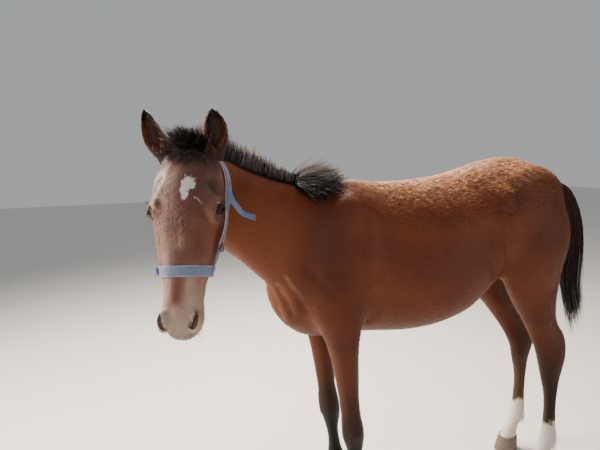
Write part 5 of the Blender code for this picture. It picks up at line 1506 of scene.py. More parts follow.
def tail(read_map, random):
    """The tail's hair: broad locks in the middle and finer ones over them, down to ragged tips."""
    table = np.column_stack([np.arange(len(TAIL_HAIR)), np.array(TAIL_HAIR)])
    made = []
    for name, count, size in (("tail_bed", TAIL_BED_LOCKS, 3.4), ("tail_hair", TAIL_STRANDS, 1.0)):
        fine = size == 1.0
        steps = 10
        start = random.uniform(0.0, 1.0, count) ** 1.3 * 3.6
        end = random.uniform(3.8, 9.0, count) if fine else random.uniform(5.4, 7.2, count)
        end = np.maximum(end, start + 2.0)
        end = np.where(start < 0.6, end * 0.92, end)
        at = start[:, None] + (end - start)[:, None] * np.linspace(0, 1, steps)[None]
        read = read_smoothly(table, at.ravel()).reshape(count, steps, 5)
        centre, deep, wide = read[:, :, :3], read[:, :, 3:4], read[:, :, 4:5]
        wide = np.maximum(wide, 0.016)
        deep = np.maximum(deep, 0.020)
        turn = random.uniform(0, 2 * math.pi, count)[:, None, None]
        reach = (random.uniform(0, 1, count) ** 0.5)[:, None, None]
        opened = step(at - start[:, None], 0.0, 1.6)[:, :, None]
        reach = (0.90 + (reach * 1.02 - 0.90) * opened) * (1.0 if fine else 0.75)
        run = unit(np.gradient(centre, axis=1))
        back = unit(np.cross(np.array((0.0, 1.0, 0.0)), run))
        out = back * np.cos(turn) * deep + np.array((0.0, 1.0, 0.0)) * np.sin(turn) * wide
        paths = centre + out * reach
        if fine:
            paths = waved(paths, random, 0.010)
            paths = gathered(paths, turn[:, 0, 0] * 2.0 + end * 1.2 + reach[:, -1, 0], 14, 0.62)
            share = np.linspace(0.0, 1.0, steps)[None, :, None] ** 3
            loose = ripple(paths[:, -1], 0.05, 9)[:, None, None] * np.array((0.016, 0.008, 0.0))
            stray = np.where(random.uniform(size=(count, 1, 1)) < 0.2, 1.9, 1.0)
            flick = random.normal(0, 0.007, (count, 1, 3)).clip(-0.016, 0.016) + (0.006, -0.002, 0.0)
            paths = paths + (flick * stray + loose) * share
            kink = ripple(paths.reshape(-1, 3), 0.055, 17).reshape(count, steps, 1)
            paths = paths + kink * np.linspace(0.0, 1.0, steps)[None, :, None] * np.array((0.009, 0.006, 0.0))
        flats = unit(out[:, 2] + random.normal(0, 0.004, (count, 3)))
        widths = tapered(random.uniform(0.0016, 0.0036, count) * size, steps - 1)
        root, tip = hair_colours(count, random, 0.04, 0.35)
        bay = step(start, 0.9, 0.2)
        root = mixed(root, BAY_DARK, bay * 0.8)
        made.append(hair_mesh(name, paths, flats, widths, 0.45, (root, tip), read_map(paths[:, 0])))
    return made


def eye(name, side):
    """An eyeball with the bulge of its cornea, and a map of its own across the iris."""
    looks, inner, upward = eye_axes(side)
    if inner.cross(upward).dot(looks) < 0:
        inner = -inner
    bpy.ops.object.select_all(action="DESELECT")
    bpy.ops.mesh.primitive_uv_sphere_add(segments=64, ring_count=40, radius=EYE_RADIUS)
    made = bpy.context.object
    made.name = name
    corners = corners_of(made.data)
    around = np.arccos(np.clip(corners[:, 2] / EYE_RADIUS, -1.0, 1.0))
    corners *= (1.0 + 0.040 * step(around, 0.80, 0.10))[:, None]
    put_corners(made.data, corners)
    layer = made.data.uv_layers.active
    layer.name = "iris"
    order = np.empty(len(made.data.loops), np.int32)
    made.data.loops.foreach_get("vertex_index", order)
    flat = corners[order][:, :2] / EYE_RADIUS * 0.5 + 0.5
    layer.data.foreach_set("uv", flat.ravel())
    axes = Matrix((inner, upward, looks)).transposed().to_4x4()
    made.data.transform(head_matrix() @ Matrix.Translation(mirrored(EYE_PLACE, side)) @ axes)
    made.data.shade_smooth()
    return made


# Each hoof from the sole up: height, front and back of its middle line, and half width.
HOOF_ROWS = (
    (0.0000, -0.0580, 0.0400, 0.0400),
    (0.0200, -0.0520, 0.0410, 0.0385),
    (0.0400, -0.0450, 0.0410, 0.0365),
    (0.0560, -0.0400, 0.0400, 0.0345),
    (0.0640, -0.0390, 0.0380, 0.0330),
)
HOOF_RINGS = 26


def hoof(name, leg_name):
    """A hoof drawn up ring by ring from its sole, as the horn grows, with a dished sole."""
    x, y = foot_place(leg_name)
    bpy.ops.object.select_all(action="DESELECT")
    bpy.ops.mesh.primitive_circle_add(vertices=64, radius=1.0, fill_type="NGON")
    made = bpy.context.object
    made.name = name
    bpy.ops.object.mode_set(mode="EDIT")
    bpy.ops.mesh.select_all(action="SELECT")
    heights = np.linspace(0.0, 0.062, HOOF_RINGS)
    before = np.array((0.0, 0.0, 1.0, 1.0))
    for k, height in enumerate(heights):
        front, back, wide = read_smoothly(HOOF_ROWS, [height])[0]
        rings = 1.0 + 0.006 * math.sin(k * 2.1) * min(1.0, k / 3)
        now = np.array(((front + back) / 2, height, (back - front) / 2 * rings, wide * rings))
        if k:
            bpy.ops.mesh.extrude_region_move()
        bpy.ops.transform.translate(value=(now[0] - before[0], 0.0, now[1] - before[1]))
        ratio = now[2:] / before[2:]
        bpy.ops.transform.resize(value=(ratio[0], ratio[1], 1.0), center_override=(now[0], 0.0, now[1]))
        before = now
    bpy.ops.mesh.select_all(action="SELECT")
    bpy.ops.mesh.normals_make_consistent(inside=False)
    bpy.ops.mesh.select_all(action="DESELECT")
    bpy.ops.object.mode_set(mode="OBJECT")
    for face in made.data.polygons:
        face.select = face.normal.z < -0.9
    bpy.ops.object.mode_set(mode="EDIT")
    bpy.ops.mesh.inset(thickness=0.007)
    bpy.ops.mesh.inset(thickness=0.004, depth=-0.003)
    bpy.ops.object.mode_set(mode="OBJECT")
    made.data.transform(Matrix.Translation((x, y, 0.0)))
    made.data.shade_smooth()
    return made


def webbing(name, rows, width, closed=False):
    """Woven webbing from rows of places across it, each with its outward way, thicker in the middle."""
    places = np.array([row[0] for row in rows], float)
    aways = unit(np.array([row[1] for row in rows], float))
    count, across = places.shape[:2]
    share = np.linspace(-1.0, 1.0, across)
    thin = WEB_THICKNESS * (1.0 - 0.45 * np.abs(share) ** 8)[None, :, None]
    rings = np.concatenate([places, (places + aways * thin)[:, ::-1]], 1)
    flat = np.concatenate([share, share[::-1]]) * width / 2
    run = np.linalg.norm(np.diff(places[:, across // 2], axis=0), axis=1)
    along = np.concatenate([[0.0], np.cumsum(run)])
    around = 2 * across
    faces, spread = [], []
    last = count if closed else count - 1
    for row in range(last):
        after_row = (row + 1) % count
        end = along[row + 1] if row + 1 < count else along[-1] + 0.008
        for k in range(around):
            after = (k + 1) % around
            here, there = row * around, after_row * around
            faces.append((here + k, here + after, there + after, there + k))
            spread += [(flat[k], along[row]), (flat[after], along[row]), (flat[after], end), (flat[k], end)]
    if not closed:
        faces.append(tuple(range(around))[::-1])
        faces.append(tuple(range((count - 1) * around, count * around)))
        spread += [(u, along[0]) for u in flat[::-1]] + [(u, along[-1]) for u in flat]
    mesh = bpy.data.meshes.new(name)
    mesh.from_pydata(rings.reshape(-1, 3).tolist(), [], faces)
    mesh.uv_layers.new(name="weave").data.foreach_set("uv", np.array(spread).ravel())
    made = bpy.data.objects.new(name, mesh)
    bpy.context.scene.collection.objects.link(made)
    select_only(made)
    bpy.ops.object.mode_set(mode="EDIT")
    bpy.ops.mesh.select_all(action="SELECT")
    bpy.ops.mesh.normals_make_consistent(inside=False)
    bpy.ops.object.mode_set(mode="OBJECT")
    bpy.ops.object.shade_smooth_by_angle(angle=math.radians(50))
    return made


# The places across a strap, as shares of its width.
ACROSS = np.linspace(-0.5, 0.5, 7)


def draped(name, path, widths, tree, lifts):
    """Webbing laid on the skin along a path, lifted off it by so much at each point."""
    path = np.array(path)
    run = np.gradient(path, axis=0)
    rows = []
    for point, along_here, lift, width in zip(path, run, lifts, widths):
        place, normal, _, _ = tree.find_nearest(Vector(point))
        side = Vector(along_here).cross(normal).normalized()
        places, aways = [], []
        for share in ACROSS:
            on_skin, away, _, _ = tree.find_nearest(place + side * share * width)
            away = (away * 0.4 + normal).normalized()
            places.append(on_skin + away * lift)
            aways.append(away)
        rows.append((places, aways))
    rows = [(np.array(places), np.array(aways)) for places, aways in rows]
    places = np.array([row[0] for row in rows])
    for _ in range(3):
        places[1:-1] = places[1:-1] * 0.5 + (places[:-2] + places[2:]) * 0.25
    return webbing(name, [(place, row[1]) for place, row in zip(places, rows)], max(widths))


def noseband_axes():
    turned = head_matrix() @ Matrix.Translation(NOSEBAND_PLACE) @ turned_to(NOSEBAND_FACES, (0.0, 1.0, 0.0))
    axes = turned.to_3x3()
    faces, left = axes.col[2].normalized(), axes.col[0].normalized()
    front = faces.cross(left)
    if front.dot(head_matrix().to_3x3().col[2]) < 0:
        front = -front
    return turned.translation, faces, left, front


def noseband(tree):
    """A closed loop round the nose that hangs slack under the jaw."""
    middle, faces, left, front = noseband_axes()
    count = 120
    turns = np.arange(count) * 2 * math.pi / count
    reaches = np.empty((count, len(ACROSS)))
    for k, turn in enumerate(turns):
        outward = left * math.cos(turn) + front * math.sin(turn)
        slack = NOSEBAND_SLACK * (max(0.0, -math.sin(turn) - 0.45) / 0.55) ** 1.3
        for j, share in enumerate(ACROSS):
            start = middle + faces * share * WEB_WIDTH
            hit = tree.ray_cast(start + outward * 0.25, -outward)[0]
            reaches[k, j] = (hit - start).dot(outward) + WEB_LIFT + COAT_DEPTH[1] + slack
    for _ in range(4):
        reaches = reaches * 0.5 + (np.roll(reaches, 1, 0) + np.roll(reaches, -1, 0)) * 0.25
    flat = reaches.mean(1, keepdims=True)
    reaches = np.maximum(reaches, flat * 0.5 + reaches * 0.5)
    rows = []
    for k, turn in enumerate(turns):
        outward = np.array(left * math.cos(turn) + front * math.sin(turn))
        starts = np.array(middle) + np.outer(ACROSS * WEB_WIDTH, np.array(faces))
        rows.append((starts + outward * reaches[k][:, None], np.tile(outward, (len(ACROSS), 1))))
    return webbing("noseband_webbing", rows, WEB_WIDTH, True)


def headpiece(tree):
    """The cheek straps and the crown behind the ears in one length, and a dark strip under it that shows
    beside its edges.
    """
    spacing = 0.008
    path = smooth_path([head_matrix() @ point for point in both_halves(HEADPIECE)], spacing)
    from_end = np.minimum(np.arange(len(path)), np.arange(len(path))[::-1]) * spacing
    over = 1.0 - np.clip((from_end - 0.030) / 0.020, 0.0, 1.0)
    lifts = WEB_LIFT + COAT_DEPTH[1] + LAYER * over
    widths = HEADPIECE_WIDTH * (1.0 - 0.40 * step(from_end, 0.20, 0.30))
    strap = draped("headpiece_webbing", path, widths, tree, lifts)
    inner = slice(5, -5)
    under = lifts[inner] - WEB_THICKNESS * 0.40
    dark_strip = draped("headpiece_dark_strip", path[inner], widths[inner] + DARK_STRIP_SHOWS, tree, under)
    return strap, dark_strip


def loose_end():
    path = smooth_path(LOOSE_END, 0.005)
    run = unit(np.gradient(path, axis=0))
    towards = np.array((-0.15, -0.95, 0.25))
    side = unit(np.cross(run, towards))
    away = np.cross(side, run)
    rows = []
    for k in range(len(path)):
        rows.append((path[k] + side[k] * ACROSS[:, None] * LOOSE_WIDTH, np.tile(away[k], (len(ACROSS), 1))))
    return webbing("loose_end_webbing", rows, LOOSE_WIDTH)


def ring(tree):
    """The small worn ring on the left cheek strap."""
    place, normal, _, _ = tree.find_nearest(head_matrix() @ Vector(RING_PLACE))
    bpy.ops.object.select_all(action="DESELECT")
    bpy.ops.mesh.primitive_torus_add(
        major_radius=RING_RADIUS, minor_radius=RING_TUBE, major_segments=64, minor_segments=16
    )
    made = bpy.context.object
    made.name = "ring_wire"
    lifted = place + normal * (WEB_LIFT + WEB_THICKNESS + RING_TUBE + 0.0014)
    made.data.transform(Matrix.Translation(lifted) @ turned_to(normal, (1.0, 0.0, 0.0)))
    made.data.shade_smooth()
    return made


def knot(tree):
    """A knot of webbing on the right side of the noseband: wraps pulled tight over each other."""
    place, normal, _, _ = tree.find_nearest(head_matrix() @ Vector(KNOT_PLACE))
    lifted = place + normal * (WEB_LIFT + LAYER + 0.0062)
    wraps = []
    for turn, squeeze, offset in ((0.0, 0.8, 0.0), (1.2, 0.9, 0.002), (2.3, 0.75, -0.002)):
        bpy.ops.object.select_all(action="DESELECT")
        bpy.ops.mesh.primitive_torus_add(
            major_radius=0.0062, minor_radius=0.0030, major_segments=28, minor_segments=12
        )
        wrap = bpy.context.object
        shape = Matrix.Rotation(turn, 4, "Z") @ Matrix.Rotation(0.9, 4, "X")
        shape = Matrix.Diagonal((1.0, 1.0, 0.6, 1.0)) @ shape @ Matrix.Diagonal((1.0, squeeze, 1.2, 1.0))
        wrap.data.transform(Matrix.Translation((offset, offset, 0.0)) @ shape)
        wraps.append(wrap)
    made = joined("knot_wraps", wraps)
    apply_modifier(made, "REMESH", mode="VOXEL", voxel_size=0.0006)
    apply_modifier(made, "SMOOTH", factor=0.5, iterations=3)
    made.data.transform(Matrix.Translation(lifted) @ turned_to(normal, (1.0, 0.0, 0.0)))
    made.data.shade_smooth()
    return made


# Loose threads, lashes and whiskers: how many steps each bends in, and their colours.
LOOSE_STEPS = 5
THREAD_PALE = linear("#aeb6c4")
THREAD_BLUE = linear("#7487ab")
LASH_PALE = linear("#8f7d6d")


def tufts_at(name, roots, ways, lengths, widths, droop, colours, read_map, random):
    """Loose hairs or threads from any roots."""
    paths = waved(bent_paths(roots, ways, lengths, droop, LOOSE_STEPS, 0.002), random, 0.0012)
    flats = unit(np.cross(ways, random.normal(size=ways.shape)))
    form = (paths, flats, tapered(widths, LOOSE_STEPS), STRAND_THICKNESS)
    return hair_mesh(name, *form, colours, read_map(roots))


def on_skin(tree, targets):
    """The nearest places on the skin and the ways out of it."""
    hits = [tree.find_nearest(Vector(target)) for target in targets]
    return np.array([hit[0] for hit in hits]), np.array([hit[1] for hit in hits])


def stitches(tree, read_map):
    """Rows of pale thread over the joints of the noseband and headpiece."""
    turned = np.array(head_matrix().to_3x3())
    roots, ways = [], []
    for place in ((0.299, 0.067, -0.095), (0.299, -0.067, -0.095)):
        for row in (-0.009, -0.0045, 0.0045, 0.009):
            for k in range(7):
                roots.append(np.array(place) + (row, 0.0, (k - 3) * 0.0036))
                ways.append((0.0, 0.0, 1.0))
    roots = np.array([head_matrix() @ Vector(root) for root in roots])
    roots, out = on_skin(tree, roots)
    roots = roots + out * (WEB_LIFT + COAT_DEPTH[1] + LAYER + WEB_THICKNESS + 0.0002)
    ways = unit(np.array(ways) @ turned.T)
    count = len(roots)
    paths = roots[:, None] + ways[:, None] * np.linspace(-0.0012, 0.0012, 5)[None, :, None]
    paths = paths + out[:, None] * np.array((0.0, 0.0005, 0.0006, 0.0005, 0.0))[None, :, None]
    pale = np.tile(THREAD_PALE, (count, 1))
    widths = np.tile((0.0007, 0.0009, 0.0009, 0.0007), (count, 1))
    return hair_mesh("stitches", paths, out, widths, 0.6, (pale, pale), read_map(roots))


def frays(tree, read_map, random):
    """Frayed threads that hang from the knot and from the end of the loose strap."""
    count = 60
    place, normal, _, _ = tree.find_nearest(head_matrix() @ Vector(KNOT_PLACE))
    knot_end = np.array(place + normal * 0.010) + random.normal(size=(count, 3)) * 0.0035
    ways = np.array(normal) * 0.9 + np.array((-0.2, 0.0, -0.8)) + random.normal(size=(count, 3)) * 0.45
    end = np.array(LOOSE_END[-1])
    strap_end = end + random.normal(size=(12, 3)) * (0.001, 0.001, 0.004)
    roots = np.concatenate([knot_end, strap_end])
    ways = np.concatenate([ways, np.array((0.9, 0.2, -0.3)) + random.normal(size=(12, 3)) * 0.25])
    lengths = np.concatenate([random.uniform(0.008, 0.026, count), random.uniform(0.004, 0.010, 12)])
    blue = mixed(np.tile(THREAD_BLUE, (len(roots), 1)), THREAD_PALE, random.uniform(0, 1, len(roots)))
    widths = np.full(len(roots), 0.0008)
    form = (roots, ways, lengths, widths, np.array((0, 0, -0.7)))
    return tufts_at("frayed_threads", *form, (blue, blue), read_map, random)


def lashes(read_map, random):
    """Upper lashes over both eyes and a few short ones below."""
    roots, ways = [], []
    turned = np.array(head_matrix().to_3x3())
    for side in (-1, 1):
        looks, inner, upward = (np.array(axis) for axis in eye_axes(side))
        for k in range(56):
            above = k < 46
            turn = math.radians(random.uniform(22, 158) if above else random.uniform(205, 330))
            roots.append(lid_point(side, turn, 0.0016, 1.05))
            spread = inner * 0.4 * math.cos(turn) + random.normal(size=3) * 0.08
            ways.append(looks * 0.8 + upward * (0.8 if above else -0.8) * random.uniform(0.7, 1.2) + spread)
    roots = np.array([head_matrix() @ root for root in roots])
    ways = np.array(ways) @ turned.T
    count = len(roots)
    lengths = random.uniform(0.006, 0.012, count)
    root = np.tile(HAIR_BLACK, (count, 1))
    tip = mixed(root, LASH_PALE, random.uniform(0.0, 0.8, count))
    form = (roots, ways, lengths, np.full(count, 0.00045), np.array((0, 0, -0.6)))
    return tufts_at("eyelashes", *form, (root, tip), read_map, random)


def whiskers(tree, read_map, random):
    """Long feelers round the lips, chin, nostrils and eyes."""
    places = []
    for side in (-1, 1):
        for _ in range(46):
            down, across = random.uniform(0.40, 0.465), random.uniform(0.005, 0.05)
            places.append((down, side * across, random.uniform(-0.15, -0.05)))
        for _ in range(9):
            places.append((random.uniform(0.14, 0.20), side * 0.09, random.uniform(-0.075, -0.055)))
    roots, out = on_skin(tree, [head_matrix() @ Vector(place) for place in places])
    count = len(roots)
    ways = out + random.normal(size=(count, 3)) * 0.3 + (-0.1, -0.1, -0.2)
    lengths = random.uniform(0.014, 0.036, count)
    root = np.tile(HAIR_BROWN, (count, 1))
    tip = mixed(root, LASH_PALE, random.uniform(0.0, 1.0, count))
    form = (roots, ways, lengths, np.full(count, 0.0006), np.array((0, 0, -0.6)))
    return tufts_at("whiskers", *form, (root, tip), read_map, random)


def ear_hair(tree, read_map, random):
    """Soft pale hair along the rims and dark down in the cups of the ears."""
    roots, ways = [], []
    shares, half_widths = np.array(EAR_FORM).T[:2]
    for name in EARS:
        foot, forward, side, up = ear_axes(name)
        length = EARS[name][3]
        for _ in range(260):
            share = random.uniform(0.10, 0.92)
            wide = float(np.interp(share, shares, half_widths))
            edge = random.choice((-1.0, 1.0)) * random.uniform(0.55, 1.0)
            roots.append(foot + up * share * length + side * wide * edge + forward * 0.006)
            ways.append(up * 0.9 - side * edge * 0.75 + forward * 0.10 + random.normal(size=3) * 0.12)
    roots = on_skin(tree, roots)[0]
    count = len(roots)
    pale = random.uniform(size=count) < 0.35
    root = mixed(np.tile(EAR_INSIDE, (count, 1)), EAR_RIM, pale * 0.7)
    tip = mixed(root, EAR_RIM, random.uniform(0.0, 0.5, count))
    form = (roots, np.array(ways), random.uniform(0.006, 0.014, count), np.full(count, 0.0010), np.zeros(3))
    return tufts_at("ear_hair", *form, (root, tip), read_map, random)


def feather(tree, read_map, random):
    """Longer hair behind the fetlocks and a fringe over each coronet."""
    roots, ways, lengths = [], [], []
    for name in LEGS:
        x, y = foot_place(name)
        for _ in range(120):
            turn = random.normal(0.0, 0.55)
            z = random.uniform(0.115, 0.160)
            middle = np.array(leg_point(name, z, 0.0, 0.0))
            roots.append(middle + (0.05 * math.cos(turn), 0.05 * math.sin(turn), 0.0))
            ways.append((0.45 * math.cos(turn), 0.45 * math.sin(turn), -0.9))
            lengths.append(random.uniform(0.014, 0.030))
        for k in range(200):
            turn = k * 2 * math.pi / 200 + random.uniform(-0.02, 0.02)
            way = np.array((math.cos(turn), math.sin(turn), 0.0))
            height = CORONET_HEIGHT - 0.004 - CORONET_TILT[0] * 0.045 * math.cos(turn)
            roots.append(np.array((x, y, height + 0.006)) + way * 0.06)
            ways.append(way * 0.35 + (0.0, 0.0, -0.9))
            lengths.append(random.uniform(0.011, 0.018))
    roots, out = on_skin(tree, roots)
    count = len(roots)
    colour = paint_body(roots, out)
    tone = np.exp(random.normal(size=(count, 1)) * 0.15)
    ways = np.array(ways) + random.normal(size=(count, 3)) * 0.12
    widths = random.uniform(0.0014, 0.0024, count)
    # Darker at the root and lighter at the tip: painted shade at the roots and painted light on the tips.
    colours = (colour * tone * 0.8, colour * tone * 1.15)
    form = (roots, ways, np.array(lengths), widths, np.array((0, 0, -0.3)))
    return tufts_at("fetlock_hair", *form, colours, read_map, random)


def add_node(tree, kind, settings, sockets):
    """Adds one node with its settings; each socket takes a value or another node's output."""
    made = tree.nodes.new("ShaderNode" + kind)
    for name, value in settings.items():
        setattr(made, name, value)
    for name, value in sockets.items():
        if isinstance(value, bpy.types.NodeSocket):
            tree.links.new(value, made.inputs[name])
        else:
            made.inputs[name].default_value = value
    return made


def new_material(name, **sockets):
    made = bpy.data.materials.new(name)
    made.use_nodes = True
    shader = made.node_tree.nodes["Principled BSDF"]
    for socket, value in sockets.items():
        shader.inputs[socket.replace("_", " ")].default_value = value
    return made, made.node_tree, shader


def rgba(code):
    return (*linear(code), 1.0)


def object_place(tree, scale=None):
    """Where each point is on the piece, stretched by a scale if one is given."""
    place = add_node(tree, "TexCoord", {}, {}).outputs["Object"]
    return place if scale is None else stretched(tree, place, scale)


def stretched(tree, place, scale, moved=(0.0, 0.0, 0.0)):
    return add_node(tree, "Mapping", {}, {"Vector": place, "Location": moved, "Scale": scale}).outputs[0]


def noise(tree, place, scale, detail):
    sockets = {"Vector": place, "Scale": scale, "Detail": detail}
    return add_node(tree, "TexNoise", {}, sockets).outputs["Fac"]


def ranged(tree, value, start, end, low=0.0, high=1.0):
    """A value's way from start to end, as a number from low to high."""
    sockets = {"Value": value, "From Min": start, "From Max": end, "To Min": low, "To Max": high}
    return add_node(tree, "MapRange", {}, sockets).outputs[0]


def arithmetic(tree, operation, *values):
    return add_node(tree, "Math", {"operation": operation}, dict(enumerate(values))).outputs[0]


def reach_from_middle(tree, place):
    return add_node(tree, "VectorMath", {"operation": "LENGTH"}, {0: place}).outputs["Value"]


def blend(tree, share, colour, other):
    """One colour turning into the other by a share."""
    sockets = {"Factor": share, "A": colour, "B": other}
    return add_node(tree, "Mix", {"data_type": "RGBA"}, sockets).outputs["Result"]


def show(tree, shader, colour, height=None, strength=0.0, distance=0.0):
    """Gives the shader its colour and, where there is a height, its bump."""
    tree.links.new(colour, shader.inputs["Base Color"])
    if height is not None:
        bump = add_node(tree, "Bump", {}, {"Height": height, "Strength": strength, "Distance": distance})
        tree.links.new(bump.outputs["Normal"], shader.inputs["Normal"])


def hair_material(name, roughness, sheen, grain, strength):
    """Hair whose colour is carried by the piece itself, with a fine grain over it."""
    made, tree, shader = new_material(name, Roughness=roughness, IOR=1.55)
    shader.inputs["Sheen Weight"].default_value = sheen
    shader.inputs["Sheen Roughness"].default_value = 0.45
    shader.inputs["Specular IOR Level"].default_value = 0.22
    colour = add_node(tree, "Attribute", {"attribute_name": "coat_colour"}, {})
    grains = noise(tree, object_place(tree, (1.0, 1.0, 0.35)), 1.0 / grain, 3.0)
    sockets = {0: colour.outputs["Color"], "Scale": ranged(tree, grains, 0.0, 1.0, 0.84, 1.16)}
    toned = add_node(tree, "VectorMath", {"operation": "SCALE"}, sockets)
    show(tree, shader, toned.outputs[0], grains, strength, 0.0012)
    return made


def eye_material():
    """A wet, dark brown horse's eye: a level oval pupil in a streaked iris, and a darker rim."""
    made, tree, shader = new_material("wet_horse_eye", Roughness=0.06, IOR=1.376)
    flat = add_node(tree, "UVMap", {"uv_map": "iris"}, {}).outputs[0]
    centred = stretched(tree, flat, (2.0, 2.0, 1.0), (-1.0, -1.0, 0.0))
    reach = reach_from_middle(tree, centred)
    pupil = reach_from_middle(tree, stretched(tree, centred, (1.0, 1.9, 1.0)))
    iris = blend(tree, noise(tree, centred, 9.0, 4.0), rgba("#160b06"), rgba("#2e190e"))
    rimmed = blend(tree, ranged(tree, reach, 0.56, 0.68), iris, rgba("#1c110e"))
    show(tree, shader, blend(tree, ranged(tree, pupil, 0.44, 0.36), rimmed, rgba("#070505")))
    return made


def horn_material():
    """Hoof horn as it grows: dull dark grey-brown with level growth rings and fine upright tubules."""
    made, tree, shader = new_material("hoof_horn_grown_in_rings", Roughness=0.5)
    rings = noise(tree, object_place(tree, (0.06, 0.06, 1.0)), 300.0, 2.0)
    tubules = noise(tree, object_place(tree, (1.0, 1.0, 0.04)), 700.0, 2.0)
    both = arithmetic(tree, "ADD", rings, tubules)
    colour = blend(tree, ranged(tree, both, 0.7, 1.3), rgba("#3b322c"), rgba("#75665a"))
    show(tree, shader, colour, both, 0.5, 0.0006)
    return made


# The webbing's weave: half the width of its herringbone's bands, and half a thread's width.
WEAVE_BAND = 0.0033
THREAD = 0.0008


def webbing_material(name, light, dark, dirt):
    """Flat-woven polypropylene webbing, faded and soiled: a herringbone of 1.6 mm ribs, and rubbed edges."""
    made, tree, shader = new_material(name, Roughness=0.75, Sheen_Weight=0.15)
    flat = add_node(tree, "UVMap", {"uv_map": "weave"}, {}).outputs[0]
    apart = add_node(tree, "SeparateXYZ", {}, {"Vector": flat}).outputs
    folded = arithmetic(tree, "PINGPONG", apart[0], WEAVE_BAND)
    ribs = arithmetic(tree, "PINGPONG", arithmetic(tree, "ADD", folded, apart[1]), THREAD)
    height = ranged(tree, ribs, 0.0, THREAD)
    stain = noise(tree, object_place(tree), 55.0, 4.0)
    thread = blend(tree, height, rgba(dark), rgba(light))
    soiled = blend(tree, ranged(tree, stain, 0.45, 0.72, 0.0, 0.6), thread, rgba(dirt))
    uneven = arithmetic(tree, "MULTIPLY_ADD", stain, 0.006, arithmetic(tree, "ABSOLUTE", apart[0]))
    rubbed = ranged(tree, uneven, 0.0130, 0.0172, 0.0, 0.8)
    show(tree, shader, blend(tree, rubbed, soiled, rgba("#bdb9c6")), height, 0.7, 0.0004)
    return made


def metal_material():
    """Zinc-plated steel wire, worn dull, with dark marks where the plating has gone."""
    made, tree, shader = new_material("worn_zinc_plated_steel", Metallic=1.0, Roughness=0.42)
    worn = noise(tree, object_place(tree), 400.0, 4.0)
    show(tree, shader, blend(tree, worn, rgba("#3d3b39"), rgba("#86837e")), worn, 0.3, 0.0003)
    return made


def floor_material():
    """A studio's matt painted floor, with faint broad mottling."""
    made, tree, shader = new_material("matt_painted_floor", Roughness=0.9)
    mottle = noise(tree, object_place(tree), 3.0, 3.0)
    show(tree, shader, blend(tree, mottle, rgba("#d9d6d0"), rgba("#e1dfda")))
    return made


# The camera's place before the origin's shift, its heading, fall and tilt in degrees, and its lens in mm.
CAMERA_PLACE = (-0.873, -1.435, 1.268)
CAMERA_ANGLES = (17.18, 8.19, -1.24)
CAMERA_LENS = 27.95


def add_camera():
    """The photograph's view of the horse."""
    made = bpy.data.objects.new("camera", bpy.data.cameras.new("camera"))
    bpy.context.scene.collection.objects.link(made)
    yaw, pitch, roll = (math.radians(angle) for angle in CAMERA_ANGLES)
    forward = Vector((math.sin(yaw) * math.cos(pitch), math.cos(yaw) * math.cos(pitch), -math.sin(pitch)))
    right = Vector((math.cos(yaw), -math.sin(yaw), 0.0))
    up = right.cross(forward)
    across = right * math.cos(roll) + up * math.sin(roll)
    upward = up * math.cos(roll) - right * math.sin(roll)
    placed = Matrix((across, upward, -forward)).transposed().to_4x4()
    placed.translation = Vector(CAMERA_PLACE) + Vector(ORIGIN_SHIFT)
    made.matrix_world = placed
    made.data.sensor_width = 36.0
    made.data.lens = CAMERA_LENS
    bpy.context.scene.camera = made


# Soft lamps: name, place, what it points at, width, power and colour.
LAMPS = (
    ("overhead", (-0.2, 1.5, 3.0), (0.2, 0.0, 1.0), 1.4, 290.0, "#fff1e0"),
    ("right_of_head", (-3.0, 0.9, 2.3), (-0.75, -0.2, 1.1), 0.9, 190.0, "#fff1e0"),
    ("front", (-2.0, -3.4, 1.8), (-0.2, 0.0, 0.8), 2.6, 36.0, "#fff3e6"),
    ("tail_side", (3.0, -2.8, 1.6), (0.4, 0.0, 0.8), 2.4, 20.0, "#ffeedd"),
)


# The studio's even light, how far the floor reaches, and the seed of all random draws but the blotches'.
SKY = "#eef1f6"
SKY_STRENGTH = 0.46
FLOOR_REACH = 14.0
SEED = 7


def add_lamps():
    for name, place, at, width, power, tint in LAMPS:
        lamp = bpy.data.objects.new(name, bpy.data.lights.new(name, "AREA"))
        lamp.data.size = width
        lamp.data.energy = power
        lamp.data.color = linear(tint)
        turn = (Vector(at) - Vector(place)).to_track_quat("-Z", "Y").to_matrix().to_4x4()
        lamp.matrix_world = Matrix.Translation(place) @ turn
        bpy.context.scene.collection.objects.link(lamp)
    world = bpy.data.worlds.new("studio")
    world.use_nodes = True
    background = world.node_tree.nodes["Background"]
    background.inputs["Color"].default_value = rgba(SKY)
    background.inputs["Strength"].default_value = SKY_STRENGTH
    bpy.context.scene.world = world


def add_floor():
    shape = bmesh.new()
    bmesh.ops.create_grid(shape, size=FLOOR_REACH)
    floor = mesh_object("floor", shape)
    floor.data.materials.append(floor_material())


def dress(made, slot, look, *nodes):
    """Moves a piece over the origin, gives it its look and hides the solids' parts that it stands for."""
    made.data.transform(Matrix.Translation(ORIGIN_SHIFT))
    made.data.materials.clear()
    made.data.materials.append(look)
    made.data.polygons.foreach_set("material_index", np.zeros(len(made.data.polygons), np.int32))
    made.data.update()
    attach(made, "root")
    if nodes:
        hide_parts(*nodes)


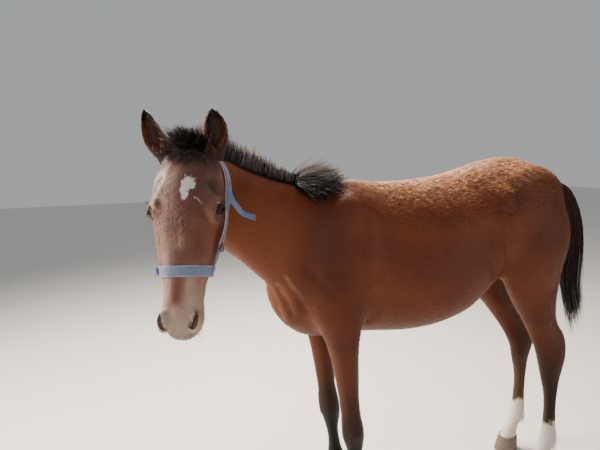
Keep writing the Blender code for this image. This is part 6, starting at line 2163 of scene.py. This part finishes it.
def main():
    random = np.random.default_rng(SEED)
    skin, part = whole_skin()
    corners, normals = corners_of(skin.data), normals_of(skin.data)
    shade = np.ones((len(corners), 4))
    # The skin takes the coat's colour darkened, as painted shade under the tufts.
    shade[:, :3] = paint(corners, normals, part) * SHADE_UNDER_COAT
    carry_colour(skin.data, shade)
    read_map = coat_map(skin)
    tree = BVHTree.FromPolygons(corners.tolist(), triangles_of(skin.data).tolist())
    short_hair = hair_material("short_bay_coat_lying_flat", 0.44, 0.0, 0.0040, 0.1)
    sleek_skin = hair_material("skin_under_short_coat", 0.50, 0.0, 0.0022, 0.3)
    long_hair = hair_material("coarse_black_horsehair", 0.40, 0.0, 0.0030, 0.2)
    for tuft in coat(skin, part, read_map, random):
        dress(tuft, "bay_coat", short_hair)
    for piece in [mane_bed(), forelock(read_map, random)] + mane(read_map, random):
        dress(piece, "black_hair", long_hair)
    for piece in tail(read_map, random):
        dress(piece, "black_hair", long_hair, "tail")
    dress(lashes(read_map, random), "black_hair", long_hair)
    dress(whiskers(tree, read_map, random), "black_hair", long_hair)
    dress(ear_hair(tree, read_map, random), "black_hair", long_hair)
    dress(feather(tree, read_map, random), "bay_coat", short_hair)
    wet = eye_material()
    for name, side in (("left", 1), ("right", -1)):
        dress(eye("eyeball_" + name, side), "eye", wet, "eye_" + name)
    horn = horn_material()
    for leg_name in LEGS:
        node = leg_name.replace("foreleg", "hoof_fore").replace("hindleg", "hoof_hind")
        dress(hoof(node + "_horn", leg_name), "hoof_horn", horn, node)
    blue = webbing_material("faded_blue_polypropylene_webbing", "#8093b8", "#46597f", "#77706a")
    black = webbing_material("black_polypropylene_dark_strip", "#23232a", "#101014", "#3a3634")
    dress(noseband(tree), "webbing", blue, "noseband")
    strap, dark_strip = headpiece(tree)
    dress(strap, "webbing", blue, "headpiece")
    dress(dark_strip, "webbing", black)
    bright = webbing_material("blue_polypropylene_webbing_less_faded", "#5d82b8", "#33507f", "#5c5a5c")
    dress(loose_end(), "webbing", bright, "loose_strap_end")
    dress(knot(tree), "webbing", blue, "strap_knot")
    dress(ring(tree), "dull_metal", metal_material(), "halter_ring")
    thread = hair_material("polyester_thread", 0.6, 0.1, 0.002, 0.1)
    dress(stitches(tree, read_map), "webbing", thread)
    dress(frays(tree, read_map, random), "webbing", thread)
    dress(skin, "bay_coat", sleek_skin, "head", "neck", "torso", *EARS, *LEGS)
    add_floor()
    add_lamps()
    add_camera()


main()
